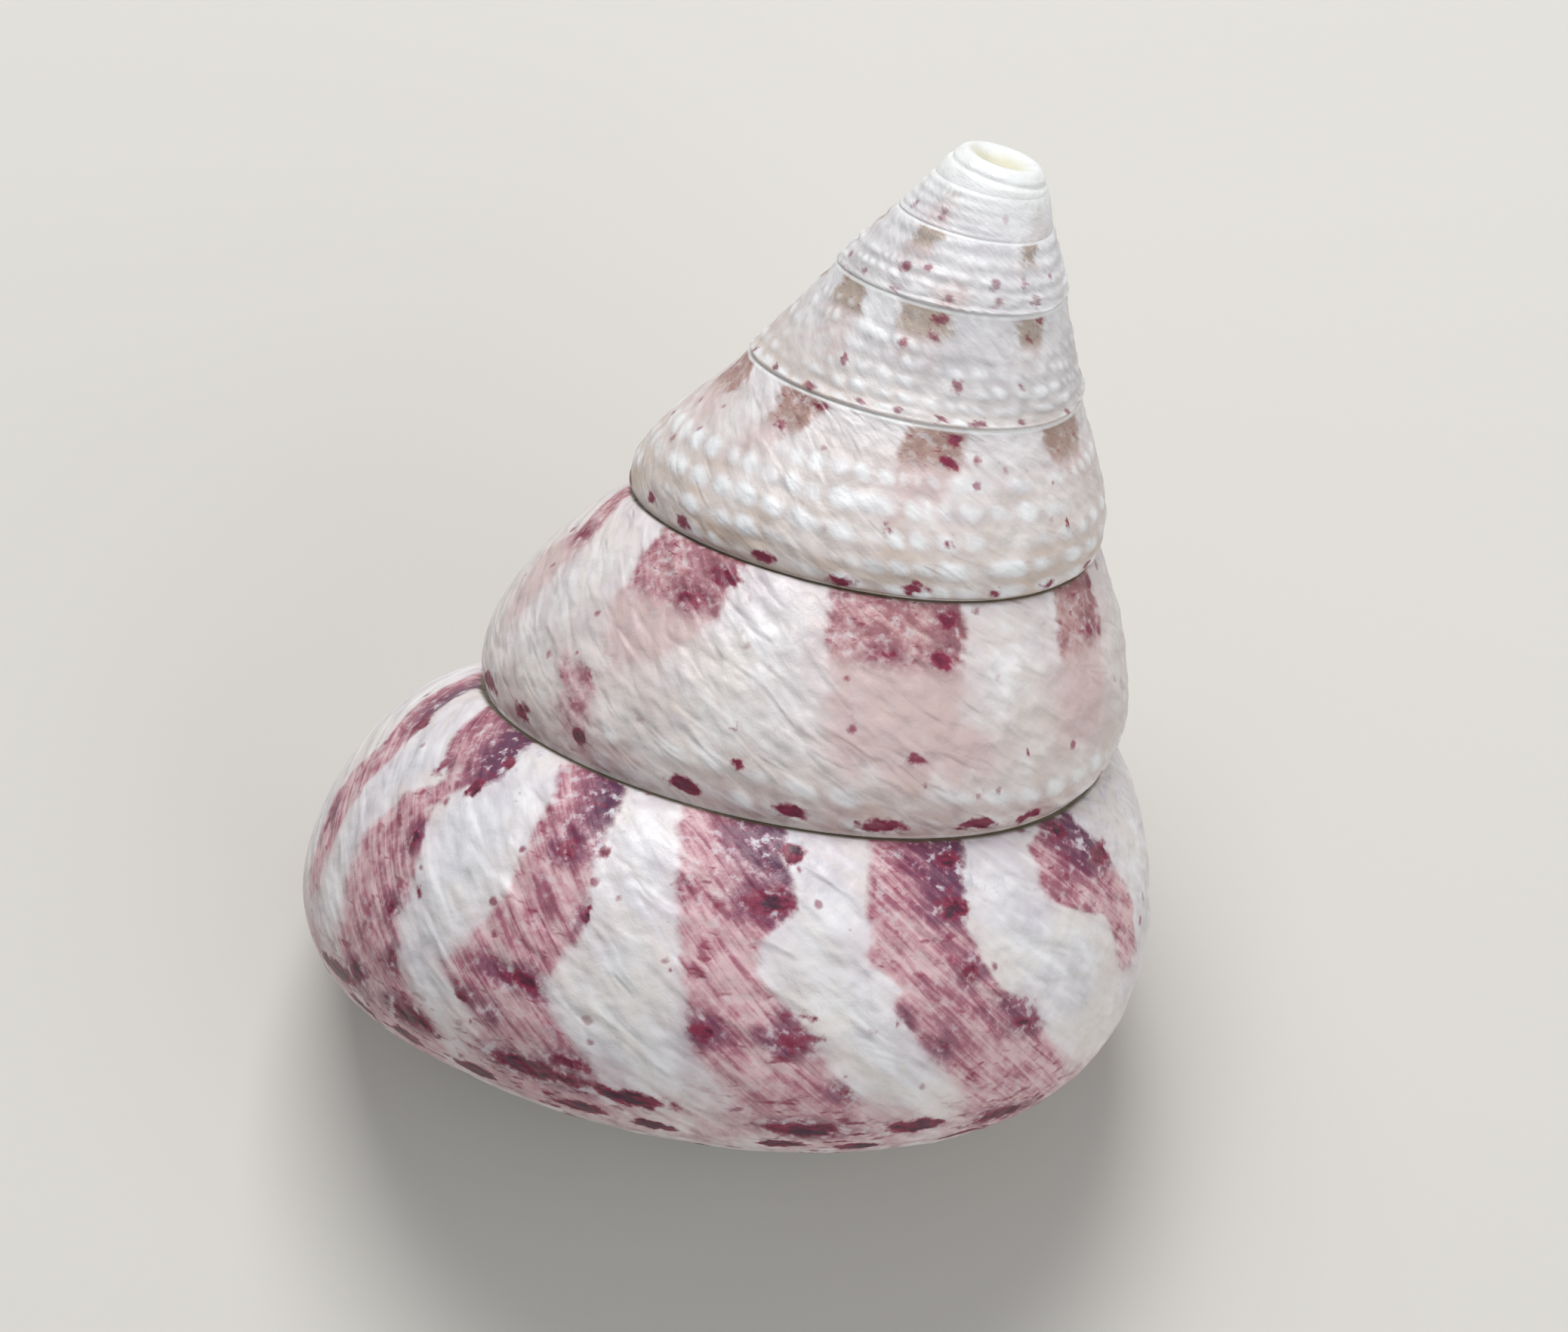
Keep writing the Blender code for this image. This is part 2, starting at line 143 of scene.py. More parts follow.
# Markings: flames of colour that run down the whorls. Each row is a place across the whorl, from 0 at the
# upper suture to 1 at the lower one, with the turns of the flame's two edges there.
FLAMES = (
    ((0.0, 5.235, 5.270), (0.12, 5.224, 5.250), (0.25, 5.208, 5.233), (0.33, 5.208, 5.222), (0.45, 5.205, 5.230),
     (0.75, 5.203, 5.219)),
    ((0.0, 5.150, 5.205), (0.18, 5.139, 5.181), (0.27, 5.152, 5.160), (0.34, 5.157, 5.171), (0.42, 5.149, 5.176),
     (0.5, 5.142, 5.181), (0.75, 5.134, 5.175), (0.85, 5.118, 5.171), (1.0, 5.104, 5.155)),
    ((0.0, 5.088, 5.126), (0.13, 5.078, 5.108), (0.3, 5.070, 5.102), (0.45, 5.061, 5.098), (0.6, 5.068, 5.104),
     (0.7, 5.063, 5.110), (0.78, 5.049, 5.094), (1.0, 5.035, 5.078)),
    ((0.0, 5.000, 5.055), (0.1, 4.998, 5.047), (0.27, 4.985, 5.034), (0.35, 4.997, 5.029), (0.46, 4.992, 5.023),
     (0.58, 4.969, 5.012), (0.7, 4.955, 5.006), (0.8, 4.941, 4.992), (0.9, 4.937, 4.975), (1.0, 4.930, 4.955)),
    ((0.0, 4.908, 4.958), (0.28, 4.911, 4.953), (0.39, 4.899, 4.951), (0.44, 4.895, 4.937), (0.52, 4.874, 4.936),
     (0.62, 4.860, 4.918), (0.75, 4.840, 4.900), (0.95, 4.835, 4.876)),
    ((0.0, 4.826, 4.848), (0.08, 4.822, 4.865), (0.2, 4.812, 4.864), (0.25, 4.805, 4.859), (0.31, 4.797, 4.838),
     (0.38, 4.790, 4.815), (0.55, 4.788, 4.806)),
    ((0.0, 4.232, 4.258), (0.14, 4.212, 4.244), (0.25, 4.199, 4.226), (0.4, 4.202, 4.235), (0.66, 4.200, 4.219)),
    ((0.0, 4.082, 4.160), (0.15, 4.080, 4.150), (0.28, 4.076, 4.141), (0.42, 4.088, 4.138), (0.52, 4.095, 4.127)),
    ((0.6, 4.125, 4.146), (0.7, 4.116, 4.140), (0.92, 4.109, 4.123)),
    ((0.0, 3.931, 4.020), (0.26, 3.929, 4.010), (0.48, 3.931, 3.997), (0.56, 3.906, 3.993), (0.7, 3.903, 3.988)),
    ((0.0, 3.796, 3.849), (0.25, 3.793, 3.850), (0.41, 3.808, 3.853), (0.58, 3.818, 3.850)),
    ((0.0, 3.092, 3.145), (0.22, 3.092, 3.137), (0.42, 3.112, 3.127)),
    ((0.0, 2.955, 3.009), (0.26, 2.948, 3.008), (0.48, 2.964, 2.993)),
    ((0.0, 2.795, 2.867), (0.16, 2.790, 2.852), (0.36, 2.798, 2.838)),
    ((0.0, 2.005, 2.075), (0.2, 2.000, 2.066), (0.38, 2.015, 2.050)),
    ((0.0, 1.854, 1.903), (0.34, 1.858, 1.891)),
    ((0.0, 1.060, 1.115), (0.16, 1.075, 1.120), (0.36, 1.080, 1.108)),
    ((0.0, 0.850, 0.900), (0.28, 0.872, 0.902)),
    ((0.62, 0.990, 1.040), (0.9, 1.000, 1.035)),
    ((0.3, 0.070, 0.120), (0.75, 0.080, 0.130)),
    ((0.1, -0.190, -0.120), (0.9, -0.180, -0.130)),
)
# Share of beige in the ground at the upper and at the lower suture, at these turns.
OCHRE_TURNS = (0.6, 1.2, 2.0, 3.0, 3.6, 4.0, 4.6, 5.0)
OCHRE_TOP = (0.1, 0.25, 0.30, 0.15, 0.20, 0.10, 0.05, 0.0)
OCHRE_FOOT = (0.2, 0.70, 0.80, 0.95, 0.90, 0.65, 0.30, 0.1)
KEPT_TURN = 4.128                # the one early flame that keeps its colour down to its foot
KEPT_WIDTH = 0.014
# Stretches, in turns, that those flames leave bare. A rule with seeded chance fills them.
FLAME_GAPS = ((1.25, 1.80), (2.12, 2.74), (3.20, 3.76), (4.30, 4.76), (5.31, 5.62))
FLAME_SPACING = (0.150, 0.088)   # turns from flame to flame, on early and on late turns
FLAME_WIDTH = (0.050, 0.038)
FLAME_SLANT = 0.055              # turns by which a flame trails from the upper to the lower suture
FLAME_SEED = 11

# Deep crimson spots: turn, place across, and half-lengths along and across in millimetres.
SPOTS = (
    (5.215, 0.21, 0.45, 0.45), (5.219, 0.58, 0.22, 0.50), (5.170, 0.25, 0.40, 0.32), (5.144, 0.24, 0.40, 0.55),
    (5.142, 0.12, 0.36, 0.28), (5.151, 0.43, 0.26, 0.45), (5.144, 0.62, 0.34, 0.34), (5.134, 0.55, 0.20, 0.22),
    (5.136, 0.76, 0.32, 0.40), (5.158, 0.88, 0.60, 0.45), (5.085, 0.27, 0.50, 0.36), (5.071, 0.24, 0.32, 0.36),
    (5.064, 0.42, 0.24, 0.40), (5.077, 0.64, 0.95, 0.26), (5.099, 0.76, 0.34, 0.16), (5.084, 0.77, 0.24, 0.22),
    (5.049, 0.84, 0.70, 0.22), (4.997, 0.26, 1.05, 0.42), (4.993, 0.10, 0.50, 0.60), (5.006, 0.63, 0.40, 0.26),
    (4.972, 0.62, 0.75, 0.26), (4.946, 0.76, 0.34, 0.22), (4.978, 0.55, 0.20, 0.16), (4.969, 0.54, 0.20, 0.18),
    (4.917, 0.085, 0.60, 0.40), (4.915, 0.235, 0.85, 0.38), (4.905, 0.41, 0.36, 0.36), (4.872, 0.58, 0.60, 0.24),
    (4.877, 0.51, 0.50, 0.14), (4.933, 0.54, 0.18, 0.20), (4.912, 0.62, 0.20, 0.28), (4.813, 0.195, 0.80, 0.42),
    (4.842, 0.06, 0.60, 0.40), (4.215, 0.25, 0.40, 0.36), (4.117, 0.88, 0.40, 0.42), (4.124, 0.62, 0.32, 0.26),
    (4.086, 0.115, 0.62, 0.40), (4.096, 0.25, 0.55, 0.26), (4.040, 0.62, 0.18, 0.20), (4.032, 0.77, 0.22, 0.18),
    (3.947, 0.63, 0.32, 0.16), (3.881, 0.63, 0.14, 0.24), (3.905, 0.77, 0.18, 0.16), (3.940, 0.10, 0.42, 0.42),
    (3.940, 0.26, 0.50, 0.32), (3.975, 0.27, 0.40, 0.14), (3.813, 0.25, 0.30, 0.28), (3.798, 0.08, 0.30, 0.34),
    (3.117, 0.27, 0.30, 0.22), (3.097, 0.08, 0.45, 0.16), (2.962, 0.10, 0.30, 0.34), (2.962, 0.24, 0.40, 0.24),
    (2.998, 0.62, 0.16, 0.18), (2.951, 0.63, 0.16, 0.16), (2.842, 0.59, 0.12, 0.22), (2.100, 0.60, 0.20, 0.20),
    (1.973, 0.59, 0.24, 0.20), (1.891, 0.58, 0.16, 0.14), (2.013, 0.09, 0.26, 0.24), (2.017, 0.24, 0.26, 0.16),
    (1.861, 0.07, 0.24, 0.20), (1.881, 0.22, 0.16, 0.16), (1.942, 0.92, 0.34, 0.22), (1.091, 0.84, 0.26, 0.22),
    (1.012, 0.79, 0.30, 0.22), (0.941, 0.73, 0.28, 0.26), (0.872, 0.71, 0.26, 0.26), (0.951, 0.50, 0.18, 0.20),
    (0.898, 0.48, 0.18, 0.20), (1.097, 0.54, 0.18, 0.18), (1.155, 0.80, 0.20, 0.24), (0.095, 0.60, 0.20, 0.30),
    (0.181, 0.68, 0.16, 0.30),
)
# Dashes just above the lower suture: the turns listed one by one, and the spacing that fills the rest.
DASHES = (5.124, 5.064, 5.025, 4.955, 4.909, 4.864, 4.055, 4.000, 3.955, 3.900, 3.865,
          3.140, 3.070, 3.015, 2.965, 2.910, 2.860, 2.062, 2.023, 1.980, 1.890, 1.818)
DASH_GAPS = ((1.20, 1.78), (2.12, 2.83), (3.18, 3.83), (4.16, 4.82), (5.18, 5.5))
DASH_SPACING = 0.052
DASH_PLACE = 0.925
DASH_SIZE = (0.92, 0.36)         # half-lengths in millimetres, grown with the whorl
# The second row of dashes, on the rounded edge.
EDGE_DASHES = (5.164, 5.129, 5.092, 5.043, 5.012, 4.962, 4.927)
EDGE_GAPS = ((4.2, 4.91), (5.2, 5.5))
EDGE_PLACE = 0.06
EDGE_SIZE = (1.15, 0.85)


def linear(code):
    """Linear colour of an sRGB hex code: the sRGB curve undone on each channel."""
    channels = np.array([int(code[i:i + 2], 16) for i in (1, 3, 5)]) / 255.0
    return tuple(np.where(channels <= 0.04045, channels / 12.92, ((channels + 0.055) / 1.055) ** 2.4))


class ShellSizes(bpy.types.PropertyGroup):
    """Sizes of the shell's low relief."""
    bead_height: bpy.props.FloatProperty(
        name="Bead height", description="Height of the beads on the middle whorls",
        default=0.15 * MM, min=0.0, unit="LENGTH")
    bead_rows: bpy.props.IntProperty(
        name="Bead rows", description="Rows of beads across a whorl", default=7, min=1)
    beads_per_turn: bpy.props.IntProperty(
        name="Beads per turn", description="Beads in one row of one turn", default=46, min=1)
    cord_height: bpy.props.FloatProperty(
        name="Cord height", description="Height of the spiral cords on the first whorls",
        default=0.07 * MM, min=0.0, unit="LENGTH")
    wrinkle_height: bpy.props.FloatProperty(
        name="Wrinkle height", description="Height of the slanting wrinkles on the later whorls",
        default=0.10 * MM, min=0.0, unit="LENGTH")
    groove_depth: bpy.props.FloatProperty(
        name="Groove depth", description="Depth of the groove along the suture",
        default=0.16 * MM, min=0.0, unit="LENGTH")
    base_cords: bpy.props.IntProperty(
        name="Base cords", description="Low cords that run round the base", default=10, min=1)


class ShellColours(bpy.types.PropertyGroup):
    """Colours of the shell."""
    white: bpy.props.FloatVectorProperty(
        name="White", description="Bare lime of the ground", subtype="COLOR", default=linear("#DDDCDE"))
    chalk: bpy.props.FloatVectorProperty(
        name="Chalk", description="Bare worn lime of the tip", subtype="COLOR", default=linear("#DEDFDE"))
    lavender: bpy.props.FloatVectorProperty(
        name="Lavender", description="Cool cast in the white", subtype="COLOR", default=linear("#BFBDC4"))
    beige: bpy.props.FloatVectorProperty(
        name="Beige", description="Ground between the beads", subtype="COLOR", default=linear("#BBA796"))
    # Painted shade: a grey laid in the valleys between the first beads, where shade falls.
    shadow: bpy.props.FloatVectorProperty(
        name="Shadow", description="Ground between the first beads", subtype="COLOR", default=linear("#A9A29E"))
    clay: bpy.props.FloatVectorProperty(
        name="Clay", description="Flames, where they have faded", subtype="COLOR", default=linear("#BCA19D"))
    ivory: bpy.props.FloatVectorProperty(
        name="Ivory", description="Warm cast in the white", subtype="COLOR", default=linear("#D6D1CC"))
    cream: bpy.props.FloatVectorProperty(
        name="Cream", description="Pit in the worn tip", subtype="COLOR", default=linear("#D3CFB9"))
    blush: bpy.props.FloatVectorProperty(
        name="Blush", description="Flames, where they are palest", subtype="COLOR", default=linear("#CBABAD"))
    rose: bpy.props.FloatVectorProperty(
        name="Rose", description="Flames over most of their length", subtype="COLOR", default=linear("#A66D7B"))
    plum: bpy.props.FloatVectorProperty(
        name="Plum", description="Flames, where they are deep", subtype="COLOR", default=linear("#74304A"))
    dusk: bpy.props.FloatVectorProperty(
        name="Dusk", description="Mottling on the shoulders", subtype="COLOR", default=linear("#492A48"))
    crimson: bpy.props.FloatVectorProperty(
        name="Crimson", description="Spots and dashes", subtype="COLOR", default=linear("#7E1C3C"))
    core: bpy.props.FloatVectorProperty(
        name="Core", description="Middle of the spots", subtype="COLOR", default=linear("#380C28"))
    brown: bpy.props.FloatVectorProperty(
        name="Brown", description="Patches on the first whorls", subtype="COLOR", default=linear("#8A7258"))
    # Part dirt, part painted shade: the dark line laid along the suture groove.
    grime_and_shade: bpy.props.FloatVectorProperty(
        name="Grime", description="Dirt in the suture", subtype="COLOR", default=linear("#4E4531"))
    pearl: bpy.props.FloatVectorProperty(
        name="Pearl", description="Lining of the tube", subtype="COLOR", default=linear("#D9D2C6"))


class StageSettings(bpy.types.PropertyGroup):
    """Floor, lights and camera."""
    floor_size: bpy.props.FloatProperty(
        name="Floor size", description="Side of the floor", default=2.4, unit="LENGTH")
    floor_colour: bpy.props.FloatVectorProperty(
        name="Floor colour", description="Plain pale floor", subtype="COLOR", default=linear("#C9C6C0"))
    sky: bpy.props.FloatProperty(
        name="Sky", description="Strength of the even light from all round", default=0.47)
    key_power: bpy.props.FloatProperty(
        name="Key power", description="Power of the large lamp above", default=1.42, unit="POWER")
    lens: bpy.props.FloatProperty(
        name="Lens", description="Focal length in millimetres", default=193.8)
    distance: bpy.props.FloatProperty(
        name="Distance", description="Camera to the point it aims at", default=0.369, unit="LENGTH")
    elevation: bpy.props.FloatProperty(
        name="Elevation", description="Camera's height above the horizon",
        default=float(np.radians(59.68)), subtype="ANGLE")
    roll: bpy.props.FloatProperty(
        name="Roll", description="Camera's turn about its line of sight",
        default=float(np.radians(0.52)), subtype="ANGLE")
    aim: bpy.props.FloatVectorProperty(
        name="Aim", description="Point the camera looks at", subtype="TRANSLATION", unit="LENGTH",
        default=(0.00254, -0.00122, 0.02536))


def suture(turn):
    """Radius and depth of the suture: a spiral whose growth slackens, on a slightly hollow cone."""
    radius = SUTURE_START_RADIUS * np.exp(
        SUTURE_GROWTH * turn - SUTURE_SLOWING * turn ** 2 - SUTURE_LATE_SLOWING * (turn / LATE_TURNS) ** 3)
    depth = DEPTH_LINEAR * radius + DEPTH_SQUARE * radius ** 2 + DEPTH_CUBE * radius ** 3
    return radius, depth


def bezier(first, second, third, last, t):
    """Cubic curve with two end points and two handles."""
    s = 1.0 - t
    return s ** 3 * first + 3 * s * s * t * second + 3 * s * t * t * third + t ** 3 * last


def whorl_chord(turn):
    """Upper suture point, lower suture point, and the length and outward angle of the line between."""
    r0, d0 = suture(turn)
    r1, d1 = suture(turn + 1.0)
    return r0, d0, r1, d1, np.hypot(r1 - r0, d1 - d0), np.arctan2(r1 - r0, d1 - d0)


def side_line(turn, t):
    """Radius and depth across the side of a whorl: t = 0 at its upper suture, 1 at its lower one."""
    r0, d0, r1, d1, height, slope = whorl_chord(turn)
    start = slope + np.interp(turn, SIDE_TURNS, SHOULDER_FLARE)
    finish = slope - np.interp(turn, SIDE_TURNS, EDGE_TUCK)
    start_reach = height * np.interp(turn, REACH_TURNS, SHOULDER_REACH)
    finish_reach = height * np.interp(turn, REACH_TURNS, EDGE_REACH)
    return (bezier(r0, r0 + np.sin(start) * start_reach, r1 - np.sin(finish) * finish_reach, r1, t),
            bezier(d0, d0 + np.cos(start) * start_reach, d1 - np.cos(finish) * finish_reach, d1, t))


def base_line(turn, t, foot, filled):
    """Radius and depth across the base: t = 0 at the rounded edge, 1 on the axis, at depth foot.

    filled is 0 beside the mouth, where the base is hollow, and 1 where it is a plain low cone.
    """
    _, _, r1, d1, height, slope = whorl_chord(turn)
    start = slope - np.interp(turn, SIDE_TURNS, EDGE_TUCK)
    reach = height * BASE_REACH
    hollow_r, hollow_d = HOLLOW_RADIUS * r1, d1 + HOLLOW_DROP * height
    full_r = BASE_BELLY_RADIUS * r1
    full_d = d1 + (foot - d1) * (1.0 - BASE_BELLY_RADIUS) + BASE_BELLY * height
    inner_r = hollow_r + (full_r - hollow_r) * filled
    inner_d = hollow_d + (full_d - hollow_d) * filled
    return (bezier(r1, r1 + np.sin(start) * reach, inner_r, 0.0, t),
            bezier(d1, d1 + np.cos(start) * reach, inner_d, foot, t))


def in_space(turn, radius, depth):
    """Place in the shell's own frame: axis up, ideal tip at the origin, turn 0 facing -Y."""
    angle = -0.25 * TURN - TURN * turn
    return np.stack(np.broadcast_arrays(radius * np.cos(angle), radius * np.sin(angle), -depth), axis=-1)


def resting_frame():
    """Rotation that leans the shell back on its mouth; its rows are the part's X, Y and Z axes."""
    spin = np.array([[np.cos(SPIN), -np.sin(SPIN), 0.0], [np.sin(SPIN), np.cos(SPIN), 0.0], [0.0, 0.0, 1.0]])
    lean = np.array([[1.0, 0.0, 0.0], [0.0, np.cos(LEAN), np.sin(LEAN)], [0.0, -np.sin(LEAN), np.cos(LEAN)]])
    view = np.array([[np.cos(VIEW_TURN), -np.sin(VIEW_TURN), 0.0],
                     [np.sin(VIEW_TURN), np.cos(VIEW_TURN), 0.0], [0.0, 0.0, 1.0]])
    return view @ lean @ spin


def mouth_plane(up):
    """Height of the plane that touches the last whorl from below, and the depth where it meets the axis."""
    turn = np.linspace(*BELLY_TURNS, BELLY_SAMPLES[0])[:, None]
    half = np.linspace(0.0, 0.5, BELLY_SAMPLES[1])[None, :]
    level = (in_space(turn, *side_line(turn, 1.0 - half)) @ up).min()
    rounded = in_space(turn, *base_line(turn, half, -level / up[2], 0.0)) @ up
    level = min(level, rounded.min()) + RUB
    return level, -level / up[2]


def lip_lag(line, t, up, level):
    """Turns by which the rim of the mouth lags behind LIP_STAGE where a line across the whorl meets it."""
    turn = np.linspace(LIP_STAGE - SLANT_TURNS, LIP_STAGE, SLANT_SAMPLES)[:, None]
    height = in_space(turn, *line(turn, t[None, :])) @ up - level
    below = height <= 0.0
    crossed = below.any(axis=0)
    last = np.where(crossed, below.argmax(axis=0), len(turn) - 1)
    first = np.maximum(last - 1, 0)
    rows = np.arange(len(t))
    high, low = height[first, rows], height[last, rows]
    share = np.where(crossed, high / np.maximum(high - low, 1e-9), 1.0)
    meets = turn[first, 0] + share * (turn[last, 0] - turn[first, 0])
    return LIP_STAGE - np.minimum(meets, LIP_STAGE)


def smooth_step(x):
    """Rise from 0 to 1 with level ends."""
    x = np.clip(x, 0.0, 1.0)
    return x * x * (3.0 - 2.0 * x)


def cap_depth(radius):
    """Depth of the worn cap, which sinks into a pit at the axis."""
    return TIP_DEPTH + TIP_PIT_DEPTH * np.exp(-(radius / TIP_PIT_RADIUS) ** 2)


def worn(radius, depth):
    """Wear of the tip: a blunt swell, cut off by a flat cap with a shallow pit."""
    near_axis = np.minimum(radius, TIP_SWELL_RADIUS)
    radius = radius + TIP_SWELL * near_axis * np.exp(-((depth - TIP_SWELL_DEPTH) / TIP_SWELL_SPREAD) ** 2)
    gap = depth - cap_depth(radius)
    return radius, depth - 0.5 * (gap - np.hypot(gap, TIP_BLEND))


def shifted_tip(place):
    """The worn tip moved off the axis, which dies out down the spire."""
    share = np.exp(-(place[..., 2:] / TIP_SHIFT_DEPTH) ** 2)
    return place + share * np.array([*TIP_SHIFT, 0.0])


def navel(radius, depth):
    """Shallow dent at the foot of the pillar."""
    return depth - NAVEL_DEPTH * np.exp(-(radius / NAVEL_RADIUS) ** 2)


def side_places():
    """Places across the side of a whorl, drawn together at both sutures by a sine wave."""
    share = np.linspace(0.0, 1.0, SIDE_ROWS + 1)
    return share - SIDE_CROWDING * np.sin(TURN * share) / TURN


class Growth:
    """The shell's surfaces as functions of the stage of growth and the place across the whorl."""

    def __init__(self):
        self.frame = resting_frame()
        up = self.frame[2]
        self.level, self.foot = mouth_plane(up)
        self.across = np.linspace(0.0, 1.0, ACROSS_SAMPLES)
        self.side_lag = lip_lag(side_line, self.across, up, self.level)
        inner = self.across[:-POLE_SAMPLES]
        foot_base = lip_lag(lambda turn, t: base_line(turn, t, self.foot, 1.0), inner, up, self.level)
        self.base_lag = np.interp(self.across, inner, foot_base)
        self.edge_lag = self.side_lag[-1]
        self.lap = 1.0 - self.edge_lag
        edge_turn = LIP_STAGE - self.edge_lag
        _, _, _, edge_depth, height, _ = whorl_chord(edge_turn)
        self.foot_drop = (self.foot - edge_depth) / height

    def side(self, stage, t):
        """Turn, radius and depth on the outside of the whorl's side."""
        near_lip = smooth_step(1.0 - (LIP_STAGE - stage) / LIP_TURNS)
        plain_lag = self.edge_lag * t
        turn = stage - plain_lag - near_lip * (np.interp(t, self.across, self.side_lag) - plain_lag)
        return (turn, *side_line(turn, t))

    def filling(self, stage):
        """Share by which the base's hollow beside the mouth has filled up, going on round the base."""
        return smooth_step((stage - (LIP_STAGE - self.lap)) / HOLLOW_TURNS)

    def base(self, stage, t):
        """Turn, radius and depth on the underside of the whorl."""
        turn = stage - np.interp(t, self.across, self.base_lag)
        edge_turn = np.minimum(stage + self.lap, LIP_STAGE) - self.edge_lag
        _, _, _, edge_depth, height, _ = whorl_chord(edge_turn)
        foot = edge_depth + self.foot_drop * height
        return (turn, *base_line(turn, t, foot, self.filling(stage)))

    def outer_side(self, stage, t):
        """Place on the side after the tip's wear."""
        turn, radius, depth = self.side(stage, t)
        return shifted_tip(in_space(turn, *worn(radius, depth)))

    def outer_base(self, stage, t):
        """Place on the base, with the navel's dent."""
        turn, radius, depth = self.base(stage, t)
        return in_space(turn, radius, navel(radius, depth))

    def offset(self, surface, stage, t, thickness):
        """A surface moved outwards by a share of the whorl's height, square to its line across."""
        turn, radius, depth = surface(stage, t)
        _, r_next, d_next = surface(stage, t + SLOPE_STEP)
        _, r_last, d_last = surface(stage, t - SLOPE_STEP)
        dr, dd = r_next - r_last, d_next - d_last
        length = np.hypot(dr, dd)
        *_, height, _ = whorl_chord(turn)
        return turn, radius + dd / length * thickness * height, depth - dr / length * thickness * height

    def tube(self, stage, t_side):
        """Rings of the tube's wall at these stages: down the side, in along the floor, up the pillar and
        out along the roof, which is the whorl before under its glaze."""
        stage = stage[:, None]
        side = self.offset(self.side, stage, TUBE_TOP + (1.0 - TUBE_TOP) * t_side[None, :], -WALL)
        roof_stage = stage - self.lap
        floor_end = PILLAR_PLACE[0] + (PILLAR_PLACE[1] - PILLAR_PLACE[0]) * self.filling(stage)
        roof_start = PILLAR_PLACE[0]
        beyond_side = 2 * BASE_ROWS - 1 - PILLAR_POINTS
        floor_count = beyond_side // 2
        roof_count = beyond_side - floor_count
        floor_t = floor_end * np.linspace(0.0, 1.0, floor_count + 1)[None, 1:]
        floor = self.offset(self.base, stage, floor_t, -WALL)
        roof_t = roof_start + (ROOF_EDGE - roof_start) * np.linspace(0.0, 1.0, roof_count + 1)[None, :-1]
        roof = self.offset(self.base, roof_stage, roof_t, CALLUS)
        roof = (roof[0] + 1.0, roof[1], roof[2])
        share = np.linspace(0.0, 1.0, PILLAR_POINTS + 2)[None, 1:-1]
        pillar = [a[:, -1:] + (b[:, :1] - a[:, -1:]) * share for a, b in zip(floor, roof)]
        along = (LIP_STAGE - stage) / TOOTH_TURNS
        upward = (share - TOOTH_PLACE) / TOOTH_SPREAD
        pillar[1] = pillar[1] + TOOTH_HEIGHT * np.exp(-along ** 2 - upward ** 2)
        ring = np.stack([np.concatenate(parts, axis=1) for parts in zip(side, floor, pillar, roof)])
        for _ in range(TUBE_CORNER_SMOOTHING):
            ring = 0.5 * ring + 0.25 * (np.roll(ring, 1, axis=2) + np.roll(ring, -1, axis=2))
        return in_space(*ring)


def lifted(surface, stage, t, height):
    """A surface moved outwards by height, square to itself. Its normal is the cross product of its slopes
    along and across the whorl, taken over one small step each way."""
    along = surface(stage + STAGE_STEP, t) - surface(stage - STAGE_STEP, t)
    across = surface(stage, t + SLOPE_STEP) - surface(stage, t - SLOPE_STEP)
    normal = np.cross(along, across)
    normal /= np.linalg.norm(normal, axis=-1, keepdims=True)
    return surface(stage, t) + normal * height[..., None]


def uneven(x, spacing, seed):
    """Smooth seeded chance along one parameter: random values a spacing apart, joined by smooth steps."""
    values = np.random.default_rng(seed).uniform(-1.0, 1.0, 4096)
    cell = np.floor(x / spacing).astype(int)
    share = smooth_step(x / spacing - cell)
    return values[cell % 4096] * (1.0 - share) + values[(cell + 1) % 4096] * share


def between_sutures(t, width):
    """1 inside a whorl, falling smoothly to 0 over a width at either suture."""
    return smooth_step(t / width) * smooth_step((1.0 - t) / width)


def bead_field(stage, turn, t, sizes):
    """Height of the beads from 0 to 1: a product of two raised cosines, one across the whorl and one along
    it, so that each row crosses the slanting growth lines. They fade in by t, lower on each later turn."""
    upper = np.interp(turn, (0.8, 1.5, 2.2, 3.0, 3.4, 3.8, 4.4), (0.40, 0.30, 0.10, 0.22, 0.40, 0.62, 0.74))
    share = smooth_step((turn - 0.3) / 0.6) * smooth_step((4.6 - turn) / 0.8) * smooth_step((t - upper) / 0.16)
    share = share * np.interp(turn, (1.0, 2.6), (0.80, 1.0)) * (0.75 + 0.25 * uneven(stage + 0.4 * t, 0.07, 13))
    level = sizes.bead_rows * (t + 0.022 * uneven(stage, 0.035, 14))
    row = (0.5 - 0.5 * np.cos(TURN * level)) ** 0.6
    passed = np.interp(0.4 * stage + 0.6 * turn, (0.0, 1.0, 3.0, 5.0), (0.0, 0.4, 1.9, 3.9))
    count = sizes.beads_per_turn * passed + 0.5 * np.floor(level)
    size = 0.62 + 0.60 * uneven(count + 17.0 * np.floor(level), 1.0, 5)
    bead = 0.5 - 0.5 * np.cos(TURN * (count + 1.1 * uneven(count + 11.0 * np.floor(level), 2.2, 6)))
    return share * row * (0.25 + 0.75 * bead ** 0.7 * size)


